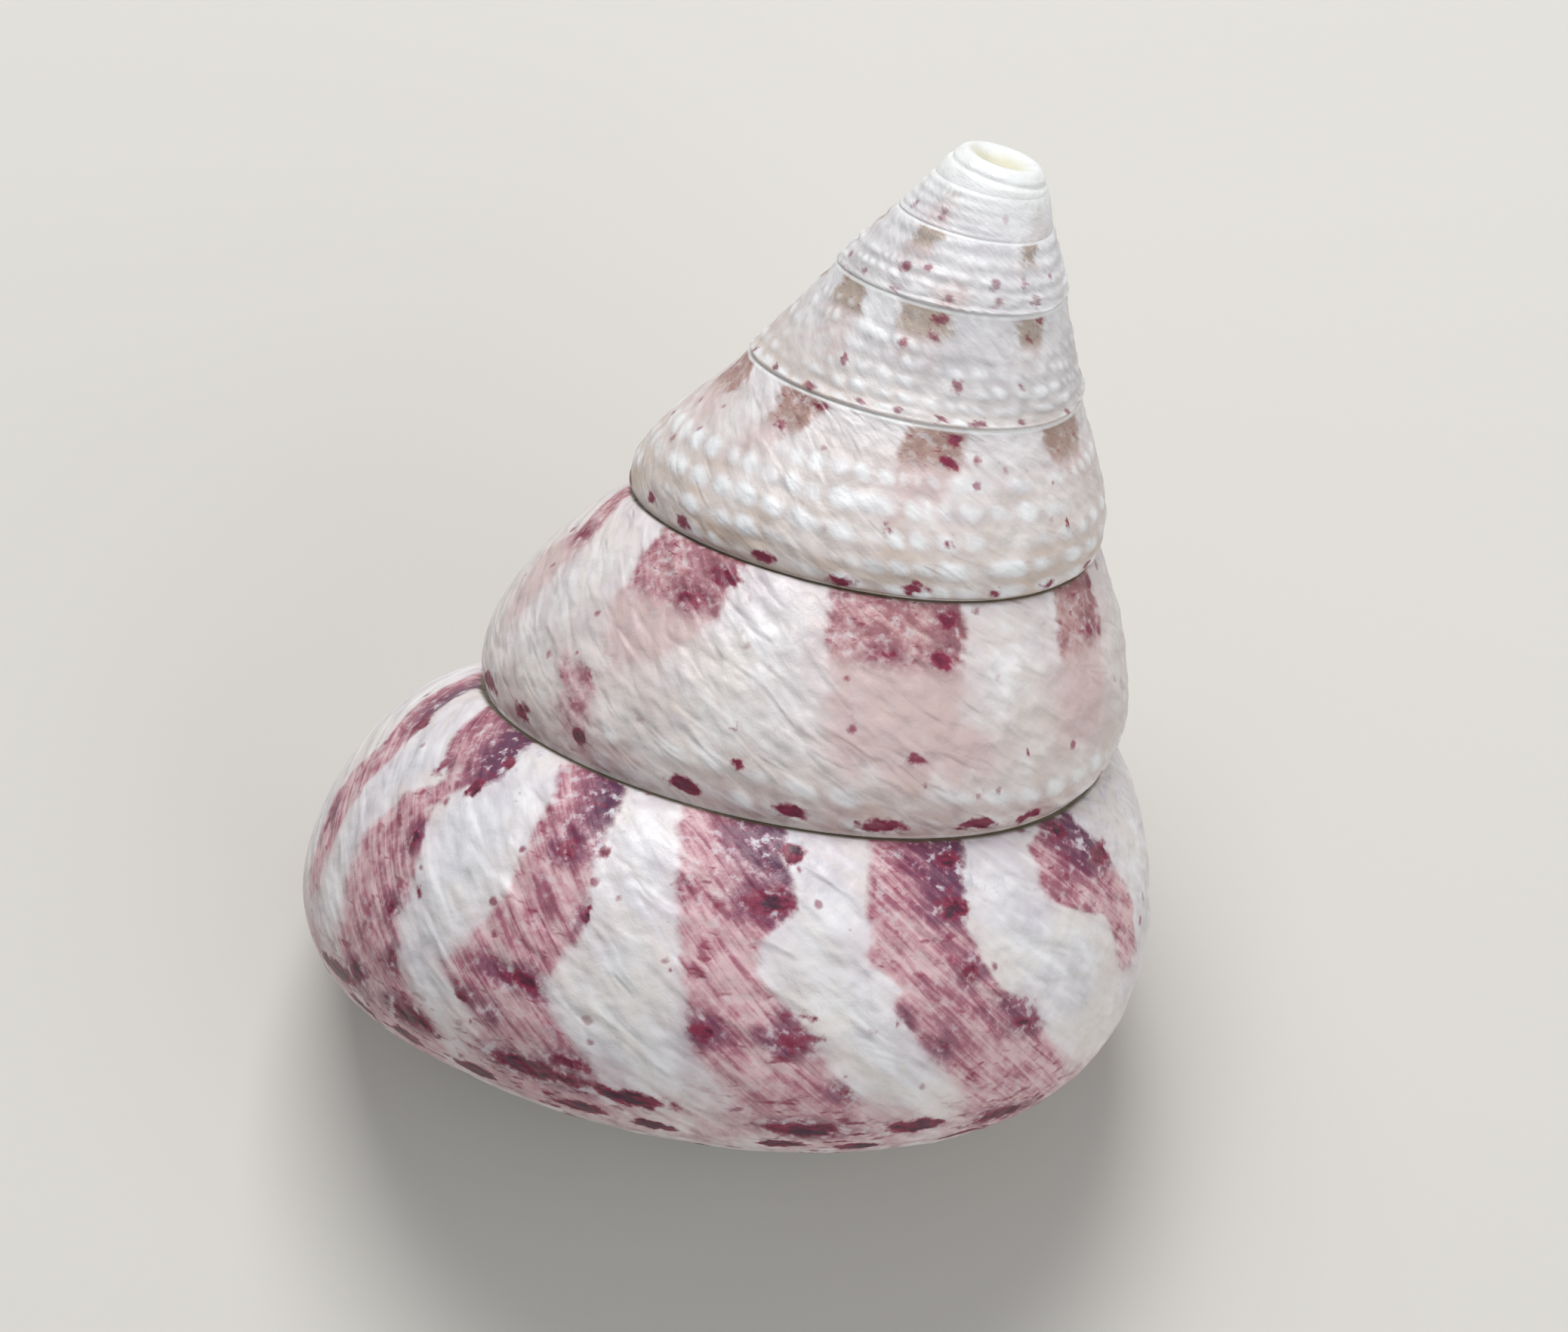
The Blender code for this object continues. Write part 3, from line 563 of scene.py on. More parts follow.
def side_relief(stage, turn, depth, t, sizes):
    """Height of the low relief on the side, in millimetres: cords on the first turns, beads on the middle
    ones, and slanting wrinkles, which are uneven waves of the stage alone, on the later ones."""
    cords = smooth_step((turn + 0.2) / 0.6) * smooth_step((1.9 - turn) / 0.6) * (0.5 - 0.5 * np.cos(TURN * 5 * t))
    bent = stage + 0.016 * uneven(t + 0.7 * uneven(stage, 0.06, 8), 0.11, 9)
    broken = 0.5 + 0.5 * uneven(t + 5.0 * uneven(stage, 0.017, 12), 0.17, 10)
    wrinkles = 0.6 * uneven(bent, 0.018, 3) * broken + 0.9 * uneven(bent, 0.027, 4) * uneven(t + 3.0 * stage, 0.21, 7)
    wrinkle_share = smooth_step((turn - 2.4) / 1.0)
    early = smooth_step((turn - 0.6) / 1.0) * (1.0 - wrinkle_share)
    height = (sizes.cord_height * cords + sizes.bead_height * bead_field(stage, turn, t, sizes)
              + sizes.wrinkle_height * (wrinkle_share + 0.3 * early) * wrinkles)
    threaded = smooth_step((turn - 0.9) / 0.6) * smooth_step((3.6 - turn) / 0.8)
    thread = 0.5 * sizes.bead_height * threaded * np.exp(-((t - 0.965) / 0.02) ** 2)
    groove = -sizes.groove_depth * smooth_step((turn - 2.6) / 0.8) * np.exp(-(t / 0.018) ** 2)
    ring = -RING_GROOVE * np.exp(-((depth - RING_DEPTH) / RING_WIDTH) ** 2)
    return (height * between_sutures(t, 0.05) + thread + groove) / MM + ring


def base_relief(stage, t, sizes):
    """Height of the low cords that run round the base, in millimetres: raised cosines of the place across."""
    inside = between_sutures(t, 0.06) * smooth_step((0.86 - t) / 0.1)
    cords = 0.5 - 0.5 * np.cos(TURN * sizes.base_cords * t / 0.86)
    lines = uneven(stage, 0.011, 3)
    return inside * (sizes.bead_height * 0.8 * cords + sizes.wrinkle_height * 0.25 * lines) / MM


def flame_list():
    """The flames as rows of place, first edge and last edge. Where none is listed, they follow each other at a spacing
    that shrinks with age, each with its own width, length and ragged edges."""
    chance = np.random.default_rng(FLAME_SEED)
    flames = [np.array(flame) for flame in FLAMES]
    for start, stop in FLAME_GAPS:
        centre = start + 0.04
        while centre < stop - 0.03:
            late = smooth_step((centre - 3.6) / 1.2)
            spacing = FLAME_SPACING[0] + (FLAME_SPACING[1] - FLAME_SPACING[0]) * late
            width = FLAME_WIDTH[0] + (FLAME_WIDTH[1] - FLAME_WIDTH[0]) * late
            end = 0.35 + chance.uniform(0.0, 0.25) + 0.65 * late
            place = np.linspace(0.0, end, 7)
            middle = centre - FLAME_SLANT * place + 0.005 * chance.standard_normal(7)
            half = 0.5 * width * (1.0 + 0.25 * chance.standard_normal(7)) * (1.0 - 0.25 * place)
            flames.append(np.stack([place, middle - half, middle + half], axis=1))
            centre += spacing * chance.uniform(0.85, 1.15)
    return flames


def flame_field(turn, t, radius, height):
    """Millimetres inside the nearest flame, negative outside: the least of the distances to its two edges
    and to its ends, and the greatest of that over all flames. With it comes the place between that flame's
    edges, from 0 at the younger one to 1 at the older."""
    field = np.full(np.broadcast(turn, t).shape, -9.0)
    between = np.zeros(field.shape)
    ragged = 0.5 * uneven(turn, 0.009, 15)
    for flame in flame_list():
        first = np.interp(t, flame[:, 0], flame[:, 1])
        last = np.interp(t, flame[:, 0], flame[:, 2])
        along = np.minimum(turn - first, last - turn) * TURN * radius
        top = np.where(flame[0, 0] > 0.0, (t - flame[0, 0]) * height + ragged, 9.0)
        bottom = np.where(flame[-1, 0] < 0.94, (flame[-1, 0] - t) * height + ragged, 9.0)
        inside = np.minimum(along, np.minimum(top, bottom))
        between = np.where(inside > field, (turn - first) / (last - first), between)
        field = np.maximum(field, inside)
    return field, np.clip(between, 0.0, 1.0)


def spot_list():
    """All spots and dashes as rows of turn, place, and half-lengths along and across."""
    chance = np.random.default_rng(FLAME_SEED + 1)
    rows = [np.array(SPOTS)]
    turns = list(DASHES)
    for start, stop in DASH_GAPS:
        turns += list(np.arange(start, stop, DASH_SPACING))
    turns = np.array(turns)
    turns[len(DASHES):] += chance.uniform(-0.008, 0.008, len(turns) - len(DASHES))
    grown = suture(turns)[0] / suture(4.0)[0]
    wide = chance.uniform(0.7, 1.2, len(turns)) * grown ** 2
    rows.append(np.stack([turns, DASH_PLACE + chance.uniform(-0.02, 0.02, len(turns)),
                          DASH_SIZE[0] * wide, DASH_SIZE[1] * grown], axis=1))
    return np.concatenate(rows)


def spot_field(turn, t, radius, height):
    """Depth inside the nearest spot, in millimetres: 1 less the elliptic distance, times the spot's width."""
    field = np.full(np.broadcast(turn, t).shape, -9.0)
    for spot_turn, place, along, across in spot_list():
        far = np.hypot((turn - spot_turn) * TURN * radius / along, (t - place) * height / across)
        field = np.maximum(field, (1.0 - far) * across)
    return field


def base_spot_field(turn, t, radius, sizes):
    """The same for the dashes on the base's cords, which follow each other evenly round each cord."""
    chance = np.random.default_rng(FLAME_SEED + 2)
    field = np.full(np.broadcast(turn, t).shape, -9.0)
    edge = np.concatenate([EDGE_DASHES] + [np.arange(start, stop, DASH_SPACING) for start, stop in EDGE_GAPS])
    for spot_turn in edge:
        far = np.hypot((turn - spot_turn) * TURN * radius / EDGE_SIZE[0],
                       (t - EDGE_PLACE) * radius.max() / EDGE_SIZE[1])
        field = np.maximum(field, (1.0 - far) * EDGE_SIZE[1])
    for cord in range(2, sizes.base_cords):
        place = 0.86 * (cord + 0.5) / sizes.base_cords
        turns = np.arange(4.0, 5.6, 0.05 + 0.004 * cord)
        turns = turns + chance.uniform(-0.012, 0.012, len(turns))
        wide = chance.uniform(0.3, 0.75, len(turns))
        for spot_turn, along in zip(turns, wide):
            far = np.hypot((turn - spot_turn) * TURN * radius / along, (t - place) * radius.max() / 0.28)
            field = np.maximum(field, (1.0 - far) * 0.28)
    return field


FIELDS = ("flames", "blush", "dusk", "rim", "ochre", "spot", "bead", "wear", "glaze")


class Skin:
    """Points and faces being gathered, with the fields' values at each corner of each face."""

    def __init__(self):
        self.points, self.faces, self.places, self.fields, self.finish = [], [], [], [], []

    def add(self, block):
        """Keep a block of points and give back their numbers in the block's shape."""
        first = sum(len(p) for p in self.points)
        self.points.append(block.reshape(-1, 3))
        return first + np.arange(block[..., 0].size).reshape(block.shape[:-1])

    def keep(self, corners, index, place, fields, finish):
        """Faces over picked corners of the grids of point numbers, places and fields."""
        self.faces.append(corners(index))
        self.places.append(corners(place).reshape(-1, 3))
        self.fields.append(corners(fields).reshape(-1, len(FIELDS)))
        self.finish.append(np.full(len(self.faces[-1]), finish))

    def sheet(self, index, place, fields, finish=0):
        """Quads over a grid of point numbers, which face the side from which along turns to across."""
        def corners(grid):
            picked = np.stack([grid[:-1, :-1], grid[1:, :-1], grid[1:, 1:], grid[:-1, 1:]], axis=2)
            return picked.reshape(-1, 4, *grid.shape[2:])
        self.keep(corners, index, place, fields, finish)

    def fan(self, index, place, fields, finish=0):
        """Triangles from the second-last row of a grid to its last, which is all one point."""
        def corners(grid):
            return np.stack([grid[:-1, -2], grid[1:, -2], grid[1:, -1]], axis=1)
        self.keep(corners, index, place, fields, finish)


def grid_fields(shape, **given):
    """Fields over a grid, with nothing where none is given."""
    blank = {"flames": -9.0, "blush": 0.0, "dusk": 0.0, "rim": 0.0, "ochre": 0.0, "spot": -9.0, "bead": 0.0, "wear": 0.0, "glaze": 0.0}
    return np.stack([np.broadcast_to(given.get(name, blank[name]), shape) for name in FIELDS], axis=-1)


def places(stage, across, turn):
    """Stage, place across and turn as one vector at each point of a grid."""
    return np.stack(np.broadcast_arrays(stage, across, turn), axis=-1)


def shell_skin(sizes):
    """The whole shell as one closed surface: side, base, worn cap, mouth rim and tube."""
    growth, skin = Growth(), Skin()
    lap, rows, under = COLUMNS_PER_LAP, SIDE_ROWS, BASE_ROWS
    step = growth.lap / lap
    columns = int((LIP_STAGE - FIRST_STAGE) / step)
    stages = (LIP_STAGE - step * np.arange(columns, -1, -1.0))[:, None]
    t_side = side_places()[None, :]
    t_base = np.linspace(0.0, 1.0, under + 1)[None, :]

    # Side: the last row of one lap is the first row of the next, so only the last lap has its own.
    turn, radius, depth = growth.side(stages, t_side)
    *_, height, _ = whorl_chord(turn)
    relief = side_relief(stages + 0.0 * t_side, turn, depth, t_side, sizes)
    raised = lifted(growth.outer_side, stages, t_side, relief)
    side = np.empty((columns + 1, rows + 1), dtype=int)
    side[:, :rows] = skin.add(raised[:, :rows])
    side[:-lap, rows] = side[lap:, 0]
    side[-lap:, rows] = skin.add(raised[-lap:, rows])
    wear = 1.0 - smooth_step((depth - TIP_DEPTH) / 4.2)
    flames, between = flame_field(turn, t_side, radius, height)
    spots = spot_field(turn, t_side, radius, height)
    kept = np.exp(-((turn - KEPT_TURN) / KEPT_WIDTH) ** 2) * smooth_step((t_side - 0.50) / 0.15)
    fade = np.interp(turn, (3.0, 4.3, 4.7), (0.22, 0.26, 1.6)) + 2.0 * kept
    top = 1.0 - smooth_step((t_side - 0.12) / 0.20)
    dusk = np.maximum(top * smooth_step(1.2 - 1.5 * between) * smooth_step((turn - 4.4) / 0.4),
                      np.interp(turn, (2.7, 3.7, 4.3, 4.7), (0.0, 0.3, 0.3, 0.7)) * smooth_step(1.0 + spots / 0.7))
    rim = smooth_step((t_side - 0.74) / 0.2) * np.interp(turn, (3.4, 3.8, 4.4, 4.6), (0.0, 0.35, 0.35, 1.0))
    ochre = (np.interp(turn, OCHRE_TURNS, OCHRE_TOP) * (1.0 - t_side)
             + np.interp(turn, OCHRE_TURNS, OCHRE_FOOT) * t_side)
    skin.sheet(side, places(stages, t_side, turn), grid_fields(
        turn.shape, flames=flames, spot=spots, blush=1.0 - smooth_step((t_side - fade) / (0.5 * fade)),
        dusk=dusk, rim=rim, ochre=ochre, bead=bead_field(stages, turn, t_side, sizes), wear=wear))

    # Base of the last lap, which closes on the foot of the pillar.
    base_stages = stages[-lap - 1:]
    turn, radius, depth = growth.base(base_stages, t_base)
    relief = base_relief(base_stages + 0.0 * t_base, t_base, sizes)
    raised = lifted(growth.outer_base, base_stages, t_base[:, :-1], relief[:, :-1])
    base = np.empty((lap + 1, under + 1), dtype=int)
    base[:, 0] = side[-lap - 1:, rows]
    base[:, 1:under] = skin.add(raised[:, 1:under])
    base[:, under] = skin.add(np.array([[0.0, 0.0, NAVEL_DEPTH - growth.foot]]))[0]
    base_place = places(base_stages, 1.0 + t_base, turn)
    base_fields = grid_fields(
        turn.shape, flames=flame_field(turn, 1.0 + 0.0 * t_base, radius, 9.0)[0] - 12.0 * t_base, blush=1.0,
        rim=1.0 - smooth_step(t_base / 0.5),
        spot=base_spot_field(turn, t_base, radius, sizes), glaze=smooth_step((t_base - 0.78) / 0.12))
    skin.sheet(base[:, :under], base_place[:, :under], base_fields[:, :under])
    skin.fan(base, base_place, base_fields)

    # Worn cap: rings that shrink to the axis from the first lap's upper edge.
    loop = np.concatenate([side[:lap, 0], side[0, :0:-1], side[:1, 0]])
    first_turn, first_radius, _ = growth.side(stages[:1], t_side)
    rim_turn = np.concatenate([stages[:lap, 0], first_turn[0, :0:-1] + 1.0, stages[:1, 0] + 1.0])[:, None]
    rim_radius = np.concatenate([suture(stages[:lap, 0])[0], first_radius[0, :0:-1], suture(stages[:1, 0])[0]])
    share = np.linspace(1.0, 0.0, CAP_RINGS + 1)[None, :]
    radius = rim_radius[:, None] * share
    cap = np.empty((len(loop), CAP_RINGS + 1), dtype=int)
    cap[:, 0] = loop
    cap[:-1, 1:-1] = skin.add(shifted_tip(in_space(rim_turn, *worn(radius, suture_cone(radius)))[:-1, 1:-1]))
    cap[-1, 1:-1] = cap[0, 1:-1]
    cap[:, -1] = skin.add(shifted_tip(in_space(0.0, *worn(np.zeros(1), np.zeros(1)))))[0]
    cap_place = places(rim_turn, share - 1.0, rim_turn)
    cap_fields = grid_fields(radius.shape, wear=1.0)
    skin.sheet(cap[::-1, :-1], cap_place[::-1, :-1], cap_fields[::-1, :-1])
    skin.fan(cap[::-1], cap_place[::-1], cap_fields[::-1])

    # Mouth rim and tube, whose end is closed.
    inward_steps = TUBE_TURNS * np.linspace(0.0, 1.0, TUBE_STEPS) ** TUBE_CROWDING
    rings = growth.tube(LIP_STAGE - LIP_RECESS - inward_steps, side_places())
    mouth = np.concatenate([side[-1], base[-1, 1:], base[0, under - 1:0:-1]])
    edge = np.concatenate(skin.points)[mouth]
    up = growth.frame[2]
    inward = rings[0] - edge
    inward -= (inward @ up)[:, None] * up
    land = edge + LIP_LAND * inward / np.linalg.norm(inward, axis=1)[:, None]
    tube = np.column_stack([mouth, skin.add(land), skin.add(rings).T])
    tube = np.vstack([tube, tube[:1]])
    tube = np.column_stack([tube, np.full(len(tube), skin.add(rings[-1].mean(axis=0)[None, :])[0])])
    around = np.linspace(0.0, 1.0, len(tube))[:, None]
    inside = np.linspace(0.0, 1.0, tube.shape[1])[None, :]
    tube_place = places(LIP_STAGE - TUBE_TURNS * inside, around, inside)
    tube_fields = grid_fields(tube_place.shape[:2], glaze=1.0)
    skin.sheet(tube[::-1, :2], tube_place[::-1, :2], tube_fields[::-1, :2])
    skin.sheet(tube[::-1, 1:-1], tube_place[::-1, 1:-1], tube_fields[::-1, 1:-1], finish=1)
    skin.fan(tube[::-1], tube_place[::-1], tube_fields[::-1], finish=1)

    placed = np.concatenate(skin.points) @ growth.frame.T
    placed[:, 2] = np.maximum(placed[:, 2], growth.level)
    low, high = placed.min(axis=0), placed.max(axis=0)
    placed -= np.array([0.5 * (low[0] + high[0]), 0.5 * (low[1] + high[1]), low[2]])
    return placed, skin


def suture_cone(radius):
    """Depth of the cone on which the suture lies, at a radius."""
    return DEPTH_LINEAR * radius + DEPTH_SQUARE * radius ** 2 + DEPTH_CUBE * radius ** 3


def shell_mesh(sizes):
    """The shell's mesh, with its places and fields stored at the corners of its faces."""
    points, skin = shell_skin(sizes)
    mesh = bpy.data.meshes.new("top_shell")
    faces = [face for block in skin.faces for face in block.tolist()]
    mesh.from_pydata((points * MM).tolist(), [], faces)
    place = mesh.attributes.new("place", "FLOAT_VECTOR", "CORNER")
    place.data.foreach_set("vector", np.concatenate(skin.places).astype(np.float32).ravel())
    values = np.concatenate(skin.fields).astype(np.float32)
    for column, name in enumerate(FIELDS):
        field = mesh.attributes.new(name, "FLOAT", "CORNER")
        field.data.foreach_set("value", values[:, column])
    mesh.shade_smooth()
    mesh.polygons.foreach_set("material_index", np.concatenate(skin.finish).astype(np.int32))
    mesh.update()
    return mesh


def add_node(tree, kind, inputs=None, **settings):
    """Adds a node with its settings. An input that is given a socket is linked to it, and any other is set."""
    made = tree.nodes.new(kind)
    for name, value in settings.items():
        setattr(made, name, value)
    for name, value in (inputs or {}).items():
        if isinstance(value, bpy.types.NodeSocket):
            tree.links.new(value, made.inputs[name])
        else:
            made.inputs[name].default_value = value
    return made


def worn_lime(colours):
    """Chalky lime shell, rolled on a beach: dull satin, white with rose and plum flames, crimson spots, fine slanting
    growth lines, grey painted shade between the first beads, and a dark line in the suture that is part dirt and part
    painted shade."""
    material = bpy.data.materials.new("beach_worn_lime_shell")
    material.use_nodes = True
    tree = material.node_tree
    surface = tree.nodes["Principled BSDF"]
    place = add_node(tree, "ShaderNodeAttribute", attribute_name="place")
    parts = add_node(tree, "ShaderNodeSeparateXYZ", {"Vector": place.outputs["Vector"]})
    stage, across, turn = parts.outputs
    fields = {name: add_node(tree, "ShaderNodeAttribute", attribute_name=name).outputs["Fac"] for name in FIELDS}
    here = add_node(tree, "ShaderNodeTexCoord").outputs["Object"]

    # Streaks along the growth lines: noise stretched across the whorl and fine along it.
    stretch = add_node(tree, "ShaderNodeVectorMath", {0: place.outputs["Vector"], 1: (270.0, 6.0, 0.0)},
                       operation="MULTIPLY")
    streaks = add_node(tree, "ShaderNodeTexNoise", {
        "Vector": stretch.outputs[0], "Scale": 1.0, "Detail": 2.0, "Roughness": 0.6, "Distortion": 0.7}).outputs["Fac"]
    broad = add_node(tree, "ShaderNodeVectorMath", {0: place.outputs["Vector"], 1: (80.0, 9.0, 0.0)},
                     operation="MULTIPLY")
    bands = add_node(tree, "ShaderNodeTexNoise", {
        "Vector": broad.outputs[0], "Scale": 1.0, "Detail": 1.5, "Roughness": 0.5, "Distortion": 0.5}).outputs["Fac"]
    turned = add_node(tree, "ShaderNodeCombineXYZ", {"X": turn, "Y": across})
    turned = add_node(tree, "ShaderNodeVectorMath", {0: turned.outputs[0], 1: (100.0, 30.0, 0.0)},
                      operation="MULTIPLY")
    worms = add_node(tree, "ShaderNodeTexNoise", {
        "Vector": turned.outputs[0], "Scale": 1.0, "Detail": 2.0, "Roughness": 0.6}).outputs["Fac"]
    grains = add_node(tree, "ShaderNodeTexNoise", {
        "Vector": here, "Scale": 1.0 / (0.55 * MM), "Detail": 3.0, "Roughness": 0.6}).outputs["Fac"]
    clouds = add_node(tree, "ShaderNodeTexNoise", {
        "Vector": here, "Scale": 1.0 / (2.6 * MM), "Detail": 3.0, "Roughness": 0.55}).outputs["Fac"]

    # Ground: white with a lavender cast in streaks, and between the beads grey painted shade on the first whorls and
    # beige on the next.
    cast = add_node(tree, "ShaderNodeMath", {0: streaks, 1: 0.2, 2: bands}, operation="MULTIPLY_ADD")
    cast = add_node(tree, "ShaderNodeMath", {0: clouds, 1: 0.8, 2: cast.outputs[0]}, operation="MULTIPLY_ADD")
    cast = add_node(tree, "ShaderNodeMapRange", {"Value": cast.outputs[0], "From Min": 0.8, "From Max": 1.2})
    white = add_node(tree, "ShaderNodeMix", {
        0: cast.outputs[0], 6: (*colours.white, 1.0), 7: (*colours.lavender, 1.0)}, data_type="RGBA")
    wide = add_node(tree, "ShaderNodeTexNoise", {
        "Vector": here, "Scale": 1.0 / (4.5 * MM), "Detail": 2.0, "Roughness": 0.5}).outputs["Fac"]
    warm = add_node(tree, "ShaderNodeMath", {0: bands, 1: 0.9, 2: wide}, operation="MULTIPLY_ADD")
    warm = add_node(tree, "ShaderNodeMapRange", {
        "Value": warm.outputs[0], "From Min": 0.86, "From Max": 1.12, "To Max": 0.75})
    mellow = add_node(tree, "ShaderNodeMapRange", {"Value": turn, "From Min": 2.6, "From Max": 4.2,
                                                   "To Min": 0.1, "To Max": 1.0})
    warm = add_node(tree, "ShaderNodeMath", {0: warm.outputs[0], 1: mellow.outputs[0]}, operation="MULTIPLY")
    white = add_node(tree, "ShaderNodeMix", {
        0: warm.outputs[0], 6: white.outputs[2], 7: (*colours.ivory, 1.0)}, data_type="RGBA")
    bleached = add_node(tree, "ShaderNodeMapRange", {
        "Value": turn, "From Min": 0.8, "From Max": 3.6, "To Min": 0.25, "To Max": 0.0})
    white = add_node(tree, "ShaderNodeMix", {
        0: bleached.outputs[0], 6: white.outputs[2], 7: (*colours.chalk, 1.0)}, data_type="RGBA")
    early = add_node(tree, "ShaderNodeMapRange", {
        "Value": fields["ochre"], "From Min": 0.0, "From Max": 1.0, "To Min": 0.0, "To Max": 1.5})
    # Valleys between the beads: grey painted shade on the first whorls, their real beige from about turn 2.4 on.
    valleys = add_node(tree, "ShaderNodeMapRange", {"Value": fields["bead"], "From Min": 0.15, "From Max": 0.6,
                                                    "To Min": 1.0, "To Max": 0.0})
    beige = add_node(tree, "ShaderNodeMath", {0: early.outputs[0], 1: valleys.outputs[0]}, operation="MULTIPLY")
    beige = add_node(tree, "ShaderNodeMath", {0: beige.outputs[0], 1: clouds}, operation="MULTIPLY",
                     use_clamp=True)
    older = add_node(tree, "ShaderNodeMath", {0: across, 1: 0.8, 2: turn}, operation="MULTIPLY_ADD")
    older = add_node(tree, "ShaderNodeMapRange", {"Value": older.outputs[0], "From Min": 2.4, "From Max": 2.9})
    valley = add_node(tree, "ShaderNodeMix", {
        0: older.outputs[0], 6: (*colours.shadow, 1.0), 7: (*colours.beige, 1.0)}, data_type="RGBA")
    ground = add_node(tree, "ShaderNodeMix", {
        0: beige.outputs[0], 6: white.outputs[2], 7: valley.outputs[2]}, data_type="RGBA")

    # Flames: their edge is frayed by the streaks and the grains.
    fray = add_node(tree, "ShaderNodeMath", {0: bands, 1: 0.7, 2: fields["flames"]}, operation="MULTIPLY_ADD")
    fray = add_node(tree, "ShaderNodeMath", {0: grains, 1: 0.5, 2: fray.outputs[0]}, operation="MULTIPLY_ADD")
    fray = add_node(tree, "ShaderNodeMath", {0: clouds, 1: 0.9, 2: fray.outputs[0]}, operation="MULTIPLY_ADD")
    firm = add_node(tree, "ShaderNodeMapRange", {
        "Value": fray.outputs[0], "From Min": 0.72, "From Max": 1.28}, interpolation_type="SMOOTHSTEP")
    loose = add_node(tree, "ShaderNodeMapRange", {
        "Value": fray.outputs[0], "From Min": 0.15, "From Max": 1.75}, interpolation_type="SMOOTHSTEP")
    low = add_node(tree, "ShaderNodeMapRange", {"Value": across, "From Min": 0.45, "From Max": 0.80})
    pale = add_node(tree, "ShaderNodeMath", {0: fields["blush"], 1: -0.6, 2: 0.6}, operation="MULTIPLY_ADD")
    low = add_node(tree, "ShaderNodeMath", {0: low.outputs[0], 1: pale.outputs[0]}, operation="MAXIMUM")
    flame = add_node(tree, "ShaderNodeMix", {0: low.outputs[0], 2: firm.outputs[0], 3: loose.outputs[0]})
    hair = add_node(tree, "ShaderNodeMapRange", {"Value": turn, "From Min": 4.1, "From Max": 4.6,
                                                 "To Min": 0.3, "To Max": 1.15})
    tone = add_node(tree, "ShaderNodeMath", {0: streaks, 1: 0.5}, operation="SUBTRACT")
    tone = add_node(tree, "ShaderNodeMath", {0: tone.outputs[0], 1: hair.outputs[0], 2: 0.75},
                    operation="MULTIPLY_ADD")
    swirl = add_node(tree, "ShaderNodeMapRange", {"Value": turn, "From Min": 4.1, "From Max": 4.6,
                                                  "To Min": 1.3, "To Max": 0.7})
    curl = add_node(tree, "ShaderNodeMath", {0: grains, 1: 0.5}, operation="SUBTRACT")
    tone = add_node(tree, "ShaderNodeMath", {0: curl.outputs[0], 1: swirl.outputs[0], 2: tone.outputs[0]},
                    operation="MULTIPLY_ADD")
    tone = add_node(tree, "ShaderNodeMath", {0: bands, 1: tone.outputs[0]}, operation="ADD")
    upper = add_node(tree, "ShaderNodeMapRange", {"Value": across, "From Min": 0.15, "From Max": 0.38,
                                                  "To Min": 0.12, "To Max": 0.0})
    tone = add_node(tree, "ShaderNodeMath", {0: upper.outputs[0], 1: tone.outputs[0]}, operation="ADD")
    tone = add_node(tree, "ShaderNodeMath", {0: clouds, 1: 1.0, 2: tone.outputs[0]}, operation="MULTIPLY_ADD")
    tone = add_node(tree, "ShaderNodeMath", {0: fields["dusk"], 1: 0.40, 2: tone.outputs[0]},
                    operation="MULTIPLY_ADD")
    deep = add_node(tree, "ShaderNodeMapRange", {"Value": tone.outputs[0], "From Min": 1.55, "From Max": 1.95})
    pigment = add_node(tree, "ShaderNodeMix", {
        0: deep.outputs[0], 6: (*colours.blush, 1.0), 7: (*colours.rose, 1.0)}, data_type="RGBA")
    deep = add_node(tree, "ShaderNodeMapRange", {"Value": tone.outputs[0], "From Min": 1.87, "From Max": 2.32})
    pigment = add_node(tree, "ShaderNodeMix", {
        0: deep.outputs[0], 6: pigment.outputs[2], 7: (*colours.plum, 1.0)}, data_type="RGBA")
    late = add_node(tree, "ShaderNodeMapRange", {"Value": turn, "From Min": 2.3, "From Max": 4.5})
    pigment = add_node(tree, "ShaderNodeMix", {
        0: late.outputs[0], 6: (*colours.brown, 1.0), 7: pigment.outputs[2]}, data_type="RGBA")
    faded = add_node(tree, "ShaderNodeMix", {
        0: fields["blush"], 6: (*colours.clay, 1.0), 7: pigment.outputs[2]}, data_type="RGBA")
    halo = add_node(tree, "ShaderNodeMapRange", {"Value": fields["flames"], "From Min": -2.2, "From Max": 0.2})
    under = add_node(tree, "ShaderNodeMapRange", {"Value": across, "From Min": 0.05, "From Max": 0.30,
                                                  "To Min": 0.8, "To Max": 0.0})
    halo = add_node(tree, "ShaderNodeMath", {0: halo.outputs[0], 1: under.outputs[0]}, operation="MAXIMUM")
    halo = add_node(tree, "ShaderNodeMath", {0: halo.outputs[0], 1: clouds}, operation="MULTIPLY")
    spread = add_node(tree, "ShaderNodeMapRange", {"Value": turn, "From Min": 2.5, "From Max": 3.5,
                                                   "To Min": 0.05, "To Max": 0.45})
    halo = add_node(tree, "ShaderNodeMath", {0: halo.outputs[0], 1: spread.outputs[0]}, operation="MULTIPLY")
    ground = add_node(tree, "ShaderNodeMix", {
        0: halo.outputs[0], 6: ground.outputs[2], 7: (*colours.blush, 1.0)}, data_type="RGBA")
    cover = add_node(tree, "ShaderNodeMapRange", {"Value": fields["blush"], "To Min": 0.7, "To Max": 1.0})
    aged = add_node(tree, "ShaderNodeMapRange", {"Value": turn, "From Min": 2.0, "From Max": 3.8,
                                                 "To Min": 0.7, "To Max": 1.0})
    cover = add_node(tree, "ShaderNodeMath", {0: cover.outputs[0], 1: aged.outputs[0]}, operation="MULTIPLY")
    cover = add_node(tree, "ShaderNodeMath", {0: cover.outputs[0], 1: flame.outputs[0]}, operation="MULTIPLY")
